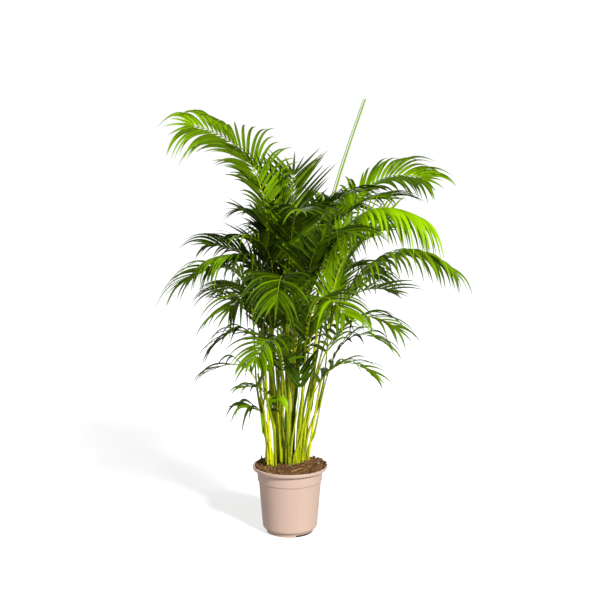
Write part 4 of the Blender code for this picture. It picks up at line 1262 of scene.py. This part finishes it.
def pot_openings(pot):
    """Cutters for the drain holes and for the two notches in the foot ring."""
    cutters = []
    around = np.linspace(0.0, 2.0 * math.pi, 24, endpoint=False)
    for k in range(DRAIN_HOLES):
        angle = 2.0 * math.pi * (k + 0.5) / DRAIN_HOLES
        middle = (pot.drain_circle * math.cos(angle), pot.drain_circle * math.sin(angle))
        outline = circle_points(middle, pot.drain_radius, around)
        hole = prism(outline, pot.floor_height - 0.003, pot.floor_height + 0.005)
        cutters.append(cutter(f"drain_{k}", *hole))
    foot = RIM_RADIUS - pot.lip_overhang - pot.collar_step - pot.body_taper - pot.foot_inset
    for middle in NOTCH_MIDDLES:
        turns = np.radians(np.linspace(middle - NOTCH_HALF_WIDTH, middle + NOTCH_HALF_WIDTH, 13))
        outline = circle_points((0.0, 0.0), foot + 0.003, turns)
        outline += circle_points((0.0, 0.0), foot - pot.foot_width - 0.003, reversed(turns))
        cutters.append(cutter(f"notch_{middle:.0f}", *prism(outline, -0.003, pot.floor_height - 0.0006)))
    return cutters


def carve(obj, cutters):
    """Cuts openings into a piece and leaves no modifier or cutter behind."""
    for tool in cutters:
        modifier = obj.modifiers.new(tool.name, "BOOLEAN")
        modifier.object = tool
        modifier.solver = "EXACT"
    bpy.context.view_layer.update()
    shape = bpy.data.meshes.new_from_object(obj.evaluated_get(bpy.context.evaluated_depsgraph_get()))
    obj.modifiers.clear()
    obj.data = shape
    for tool in cutters:
        bpy.data.objects.remove(tool, do_unlink=True)


class PALM_OT_pot(bpy.types.Operator):
    """Builds the moulded nursery pot with its lip, collar, foot notches and drain holes."""

    bl_idname = "palm.pot"
    bl_label = "Pot"

    def execute(self, context):
        pot = context.scene.palm_pot
        profile = np.array(pot_profile(pot))
        angles = 2.0 * math.pi * np.arange(POT_SIDES) / POT_SIDES
        points = np.stack(
            [
                profile[:, :1] * np.cos(angles),
                profile[:, :1] * np.sin(angles),
                np.broadcast_to(profile[:, 1:], (len(profile), POT_SIDES)),
            ],
            axis=2,
        )
        surfaces = Surfaces("rise")
        surfaces.grid(points, closed=True, rise=profile[:, 1:] / POT_HEIGHT)
        piece = surfaces.piece("nursery_pot", plastic_material(pot), "pot")
        piece.data.flip_normals()
        close_middle(piece)
        carve(piece, pot_openings(pot))
        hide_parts("pot")
        return {"FINISHED"}


def close_middle(piece):
    """Joins the floor's two small middle rings, so that the pot is one closed shell.

    The joining faces take no room of the bake map, which the floor already fills there.
    """
    bm = bmesh.new()
    bm.from_mesh(piece.data)
    open_edges = [edge for edge in bm.edges if edge.is_boundary]
    bridge = bmesh.ops.bridge_loops(bm, edges=open_edges)
    places = bm.loops.layers.uv[BAKE_MAP]
    for face in bridge["faces"]:
        for corner in face.loops:
            corner[places].uv.y = 1.0
    bmesh.ops.recalc_face_normals(bm, faces=bm.faces)
    bm.to_mesh(piece.data)
    bm.free()


# ---------------------------------------------------------------- potting mix


def mix_height(settings, radius):
    """Height of the mounded mix at a distance from the pot's axis."""
    edge = RIM_RADIUS - 0.008
    return POT_HEIGHT - settings.edge_drop + settings.mound * (1.0 - (radius / edge) ** 2)


def lumpy(x, y):
    """Unevenness of the mix at a place, in metres."""
    wide = noise.noise(Vector((x * 45.0, y * 45.0, 0.3)))
    fine = noise.fractal(Vector((x * 160.0, y * 160.0, 1.7)), 0.8, 2.0, 4)
    return 0.0030 * wide + 0.0026 * fine


def overfilled(angle):
    """How far the mix has spilled onto the lip at an angle about the pot: most at the back and right."""
    return 0.5 + 0.5 * math.cos(angle - math.radians(35.0))


def make_mix_surface(settings):
    """The mounded, lumpy top of the mix, with a short skirt that turns down at its ragged edge."""
    points = np.zeros((MIX_RINGS, MIX_SIDES, 3))
    for i in range(MIX_RINGS):
        share = i / (MIX_RINGS - 1)
        for j in range(MIX_SIDES):
            angle = 2.0 * math.pi * j / MIX_SIDES
            spill = SPILL_REACH * overfilled(angle) ** 2
            ragged = 0.0012 * noise.noise(Vector((math.cos(angle) * 9.0, math.sin(angle) * 9.0, 4.0)))
            radius = 0.002 + (RIM_RADIUS - 0.0102 + spill + ragged) * share
            x, y = radius * math.cos(angle), radius * math.sin(angle)
            rim_hold = 1.0 - 0.8 * share**12
            height = mix_height(settings, radius) + lumpy(x, y) * rim_hold
            points[i, j] = (x, y, height + SPILL_HEIGHT * overfilled(angle) ** 2 * share**3)
    skirt = points[-1:].copy()
    skirt[:, :, :2] *= 0.985
    skirt[:, :, 2] -= 0.006
    surfaces = Surfaces()
    surfaces.grid(np.concatenate([points, skirt]), closed=True)
    piece = surfaces.piece("potting_mix_surface", mix_material(settings), "potting_mix")
    if piece.data.polygons[0].normal.z < 0.0:
        piece.data.flip_normals()
    return piece


def scatter_place(rng, settings):
    """A place on the mix, or now and then on the lip where the mix has spilled."""
    angle = rng.uniform(0.0, 2.0 * math.pi)
    radius = (RIM_RADIUS - 0.010) * math.sqrt(rng.random())
    if rng.random() < 0.09 * overfilled(angle) ** 2:
        radius = RIM_RADIUS - rng.uniform(0.002, 0.010)
    x, y = radius * math.cos(angle), radius * math.sin(angle)
    height = mix_height(settings, radius) + lumpy(x, y)
    if radius > RIM_RADIUS - 0.0095:
        lip = POT_HEIGHT + 0.0006 + SPILL_HEIGHT * overfilled(angle) ** 2 * (radius / RIM_RADIUS) ** 3
        height = max(height, lip)
    return x, y, height


def rotated(first, second, angle):
    """Two coordinates turned by an angle."""
    cosine, sine = math.cos(angle), math.sin(angle)
    return first * cosine - second * sine, first * sine + second * cosine


def make_chips(settings):
    """Loose bark chips, each a small uneven block lying on the mix."""
    rng = random.Random(21)
    surfaces = Surfaces("tone")
    cells = map_cells(settings.chips, 1.0)
    for cell in cells:
        x, y, z = scatter_place(rng, settings)
        long = rng.choice((rng.uniform(0.003, 0.006), rng.uniform(0.004, 0.008), rng.uniform(0.007, 0.013)))
        wide, thick = long * rng.uniform(0.4, 0.85), rng.uniform(0.0016, 0.0042)
        turn, tip = rng.uniform(0.0, math.pi), rng.gauss(0.0, 0.35)
        rows = []
        for along, narrow in ((-0.5, 0.25), (-0.46, 0.8), (0.0, 1.0), (0.45, 0.7), (0.5, 0.2)):
            row = []
            for across, up in ((-0.5, 0.0), (-0.4, 0.9), (0.35, 1.0), (0.5, 0.1)):
                px = along * long * rng.uniform(0.85, 1.15)
                py = across * wide * narrow * rng.uniform(0.75, 1.25)
                pz = (up - 0.35) * thick * (0.4 + 0.6 * narrow) * rng.uniform(0.7, 1.3)
                px, pz = rotated(px, pz, tip)
                px, py = rotated(px, py, turn)
                row.append((x + px, y + py, z + pz))
            rows.append(row)
        surfaces.grid(rows, cell, closed=True, tone=rng.random() ** 2.0)
    return surfaces.piece("bark_chips", chip_material(settings), "potting_mix", smooth=False)


def make_fibres(settings):
    """Coir fibres and a few straws, curved strands that lie on the mix."""
    rng = random.Random(33)
    surfaces = Surfaces("tone")
    strands = [(*straw, 0.9, 0.15) for straw in STRAWS]
    for _ in range(settings.fibres):
        x, y, _height = scatter_place(rng, settings)
        long, turn = rng.uniform(0.006, 0.026), rng.uniform(0.0, 2.0 * math.pi)
        thick = rng.uniform(0.00025, 0.0006)
        strands.append((x, y, turn, long, thick, rng.random(), 1.0))
    cells = map_cells(len(strands), 6.0)
    for cell, (x, y, turn, long, thick, tone, curl) in zip(cells, strands):
        bend = rng.uniform(-1.0, 1.0) * curl
        line = []
        for t in np.linspace(-0.5, 0.5, 8):
            heading = turn + bend * t
            px, py = x + math.cos(heading) * long * t, y + math.sin(heading) * long * t
            radius = math.hypot(px, py)
            if radius > RIM_RADIUS - 0.004:
                px, py = px * (RIM_RADIUS - 0.004) / radius, py * (RIM_RADIUS - 0.004) / radius
            lift = 0.0012 + thick + curl * 0.004 * max(0.0, t) * abs(bend)
            line.append((px, py, mix_height(settings, radius) + lumpy(px, py) * 0.6 + lift))
        line = np.array(line)
        _, right, upper = directions_along(line, (0.0, 0.0, 1.0))
        widths = thick * np.array([0.5, 0.9, 1.0, 1.0, 1.0, 0.95, 0.8, 0.4])
        points = ring_points(line, right, upper, widths, 5)
        surfaces.grid(points, cell, closed=True, tone=tone)
    return surfaces.piece("coir_fibres", fibre_material(settings), "potting_mix")


class PALM_OT_potting_mix(bpy.types.Operator):
    """Builds the mounded potting mix with its bark chips, fibres and straws."""

    bl_idname = "palm.potting_mix"
    bl_label = "Potting mix"

    def execute(self, context):
        settings = context.scene.palm_mix
        NODES["soil"].data.materials.clear()
        surface = make_mix_surface(settings)
        NODES["soil"].data.materials.append(surface.data.materials[0])
        make_chips(settings)
        make_fibres(settings)
        return {"FINISHED"}


# ---------------------------------------------------------------- stage


def add_light(name, kind, place, power, **settings):
    """A light that looks at the middle of the palm."""
    light = bpy.data.lights.new(name, kind)
    light.energy = power
    for key, value in settings.items():
        setattr(light, key, value)
    obj = new_object(name, light)
    obj.location = place
    obj.rotation_euler = (Vector(LIGHT_AIM) - obj.location).to_track_quat("-Z", "Y").to_euler()


def make_floor(stage):
    """The pale floor. It glows for the camera only, and is dark and without glow under the pot."""
    mesh = bpy.data.meshes.new("studio_floor")
    corners = [(x * FLOOR_REACH, y * FLOOR_REACH, 0.0) for x, y in ((-1, -1), (1, -1), (1, 1), (-1, 1))]
    mesh.from_pydata(corners, [], [(0, 1, 2, 3)])
    material, tree, shader = start_material("studio_floor", 0.9, 0.1)
    from_axis = add_node(tree, "VectorMath", {0: object_place(tree)}, operation="LENGTH").outputs["Value"]
    open_floor = ramp(tree, from_axis, *FOOT_SHADE)
    shaded = blend_colours(tree, open_floor, FLOOR_SHADE, stage.floor)
    tree.links.new(shaded, shader.inputs["Base Color"])
    seen = add_node(tree, "LightPath").outputs["Is Camera Ray"]
    glow = ramp(tree, maths(tree, "MULTIPLY", seen, open_floor), 0.0, 1.0, 0.0, stage.floor_glow)
    shader.inputs["Emission Color"].default_value = WHITE
    tree.links.new(glow, shader.inputs["Emission Strength"])
    mesh.materials.append(material)
    floor = new_object("studio_floor", mesh)


def make_world(stage):
    """White surroundings, which light the palm far less than the camera sees."""
    world = bpy.data.worlds.new("studio")
    world.use_nodes = True
    tree = world.node_tree
    sky = tree.nodes["Background"]
    sky.inputs["Color"].default_value = WHITE
    seen = add_node(tree, "LightPath").outputs["Is Camera Ray"]
    tree.links.new(ramp(tree, seen, 0.0, 1.0, stage.ambient, 1.0), sky.inputs["Strength"])
    bpy.context.scene.world = world


def make_camera(stage):
    camera = bpy.data.cameras.new("camera")
    camera.lens = stage.lens
    camera.sensor_width = 36.0
    camera.clip_end = 100.0
    seat = new_object("camera", camera)
    seat.location = stage.camera
    seat.rotation_euler = (math.radians(90.0) - stage.tilt, 0.0, 0.0)
    bpy.context.scene.camera = seat


class PALM_OT_stage(bpy.types.Operator):
    """Sets up the pale floor, the soft studio lights and the camera."""

    bl_idname = "palm.stage"
    bl_label = "Stage"

    def execute(self, context):
        stage = context.scene.palm_stage
        make_floor(stage)
        make_world(stage)
        add_light("key_light", "SUN", KEY_PLACE, stage.key_power, angle=stage.key_size)
        add_light("fill_light", "AREA", FILL_PLACE, stage.fill_power, shape="DISK", size=2.2)
        add_light("back_light", "AREA", BACK_PLACE, stage.back_power, shape="DISK", size=2.2)
        make_camera(stage)
        context.scene.view_settings.view_transform = "Standard"
        return {"FINISHED"}


# ---------------------------------------------------------------- add-on


class PALM_PT_panel(bpy.types.Panel):
    """Lists the palm's pieces in the sidebar."""

    bl_idname = "PALM_PT_panel"
    bl_label = "Potted Palm"
    bl_space_type = "VIEW_3D"
    bl_region_type = "UI"
    bl_category = "Palm"

    def draw(self, context):
        for operator in OPERATORS:
            self.layout.operator(operator.bl_idname)


SETTINGS = {
    "palm_pot": PalmPotSettings,
    "palm_mix": PalmMixSettings,
    "palm_canes": PalmCaneSettings,
    "palm_fronds": PalmFrondSettings,
    "palm_stage": PalmStageSettings,
}
OPERATORS = (
    PALM_OT_pot,
    PALM_OT_potting_mix,
    PALM_OT_canes,
    PALM_OT_fronds,
    PALM_OT_spear_leaf,
    PALM_OT_dry_stub,
    PALM_OT_stage,
)


def register():
    for item in (*SETTINGS.values(), *OPERATORS, PALM_PT_panel):
        bpy.utils.register_class(item)
    for name, group in SETTINGS.items():
        setattr(bpy.types.Scene, name, PointerProperty(type=group))


def unregister():
    for name in SETTINGS:
        delattr(bpy.types.Scene, name)
    for item in (PALM_PT_panel, *reversed(OPERATORS), *reversed(SETTINGS.values())):
        bpy.utils.unregister_class(item)


def main():
    register()
    bpy.ops.palm.pot()
    bpy.ops.palm.potting_mix()
    bpy.ops.palm.canes()
    bpy.ops.palm.fronds()
    bpy.ops.palm.spear_leaf()
    bpy.ops.palm.dry_stub()
    bpy.ops.palm.stage()


if __name__ == "__main__":
    main()
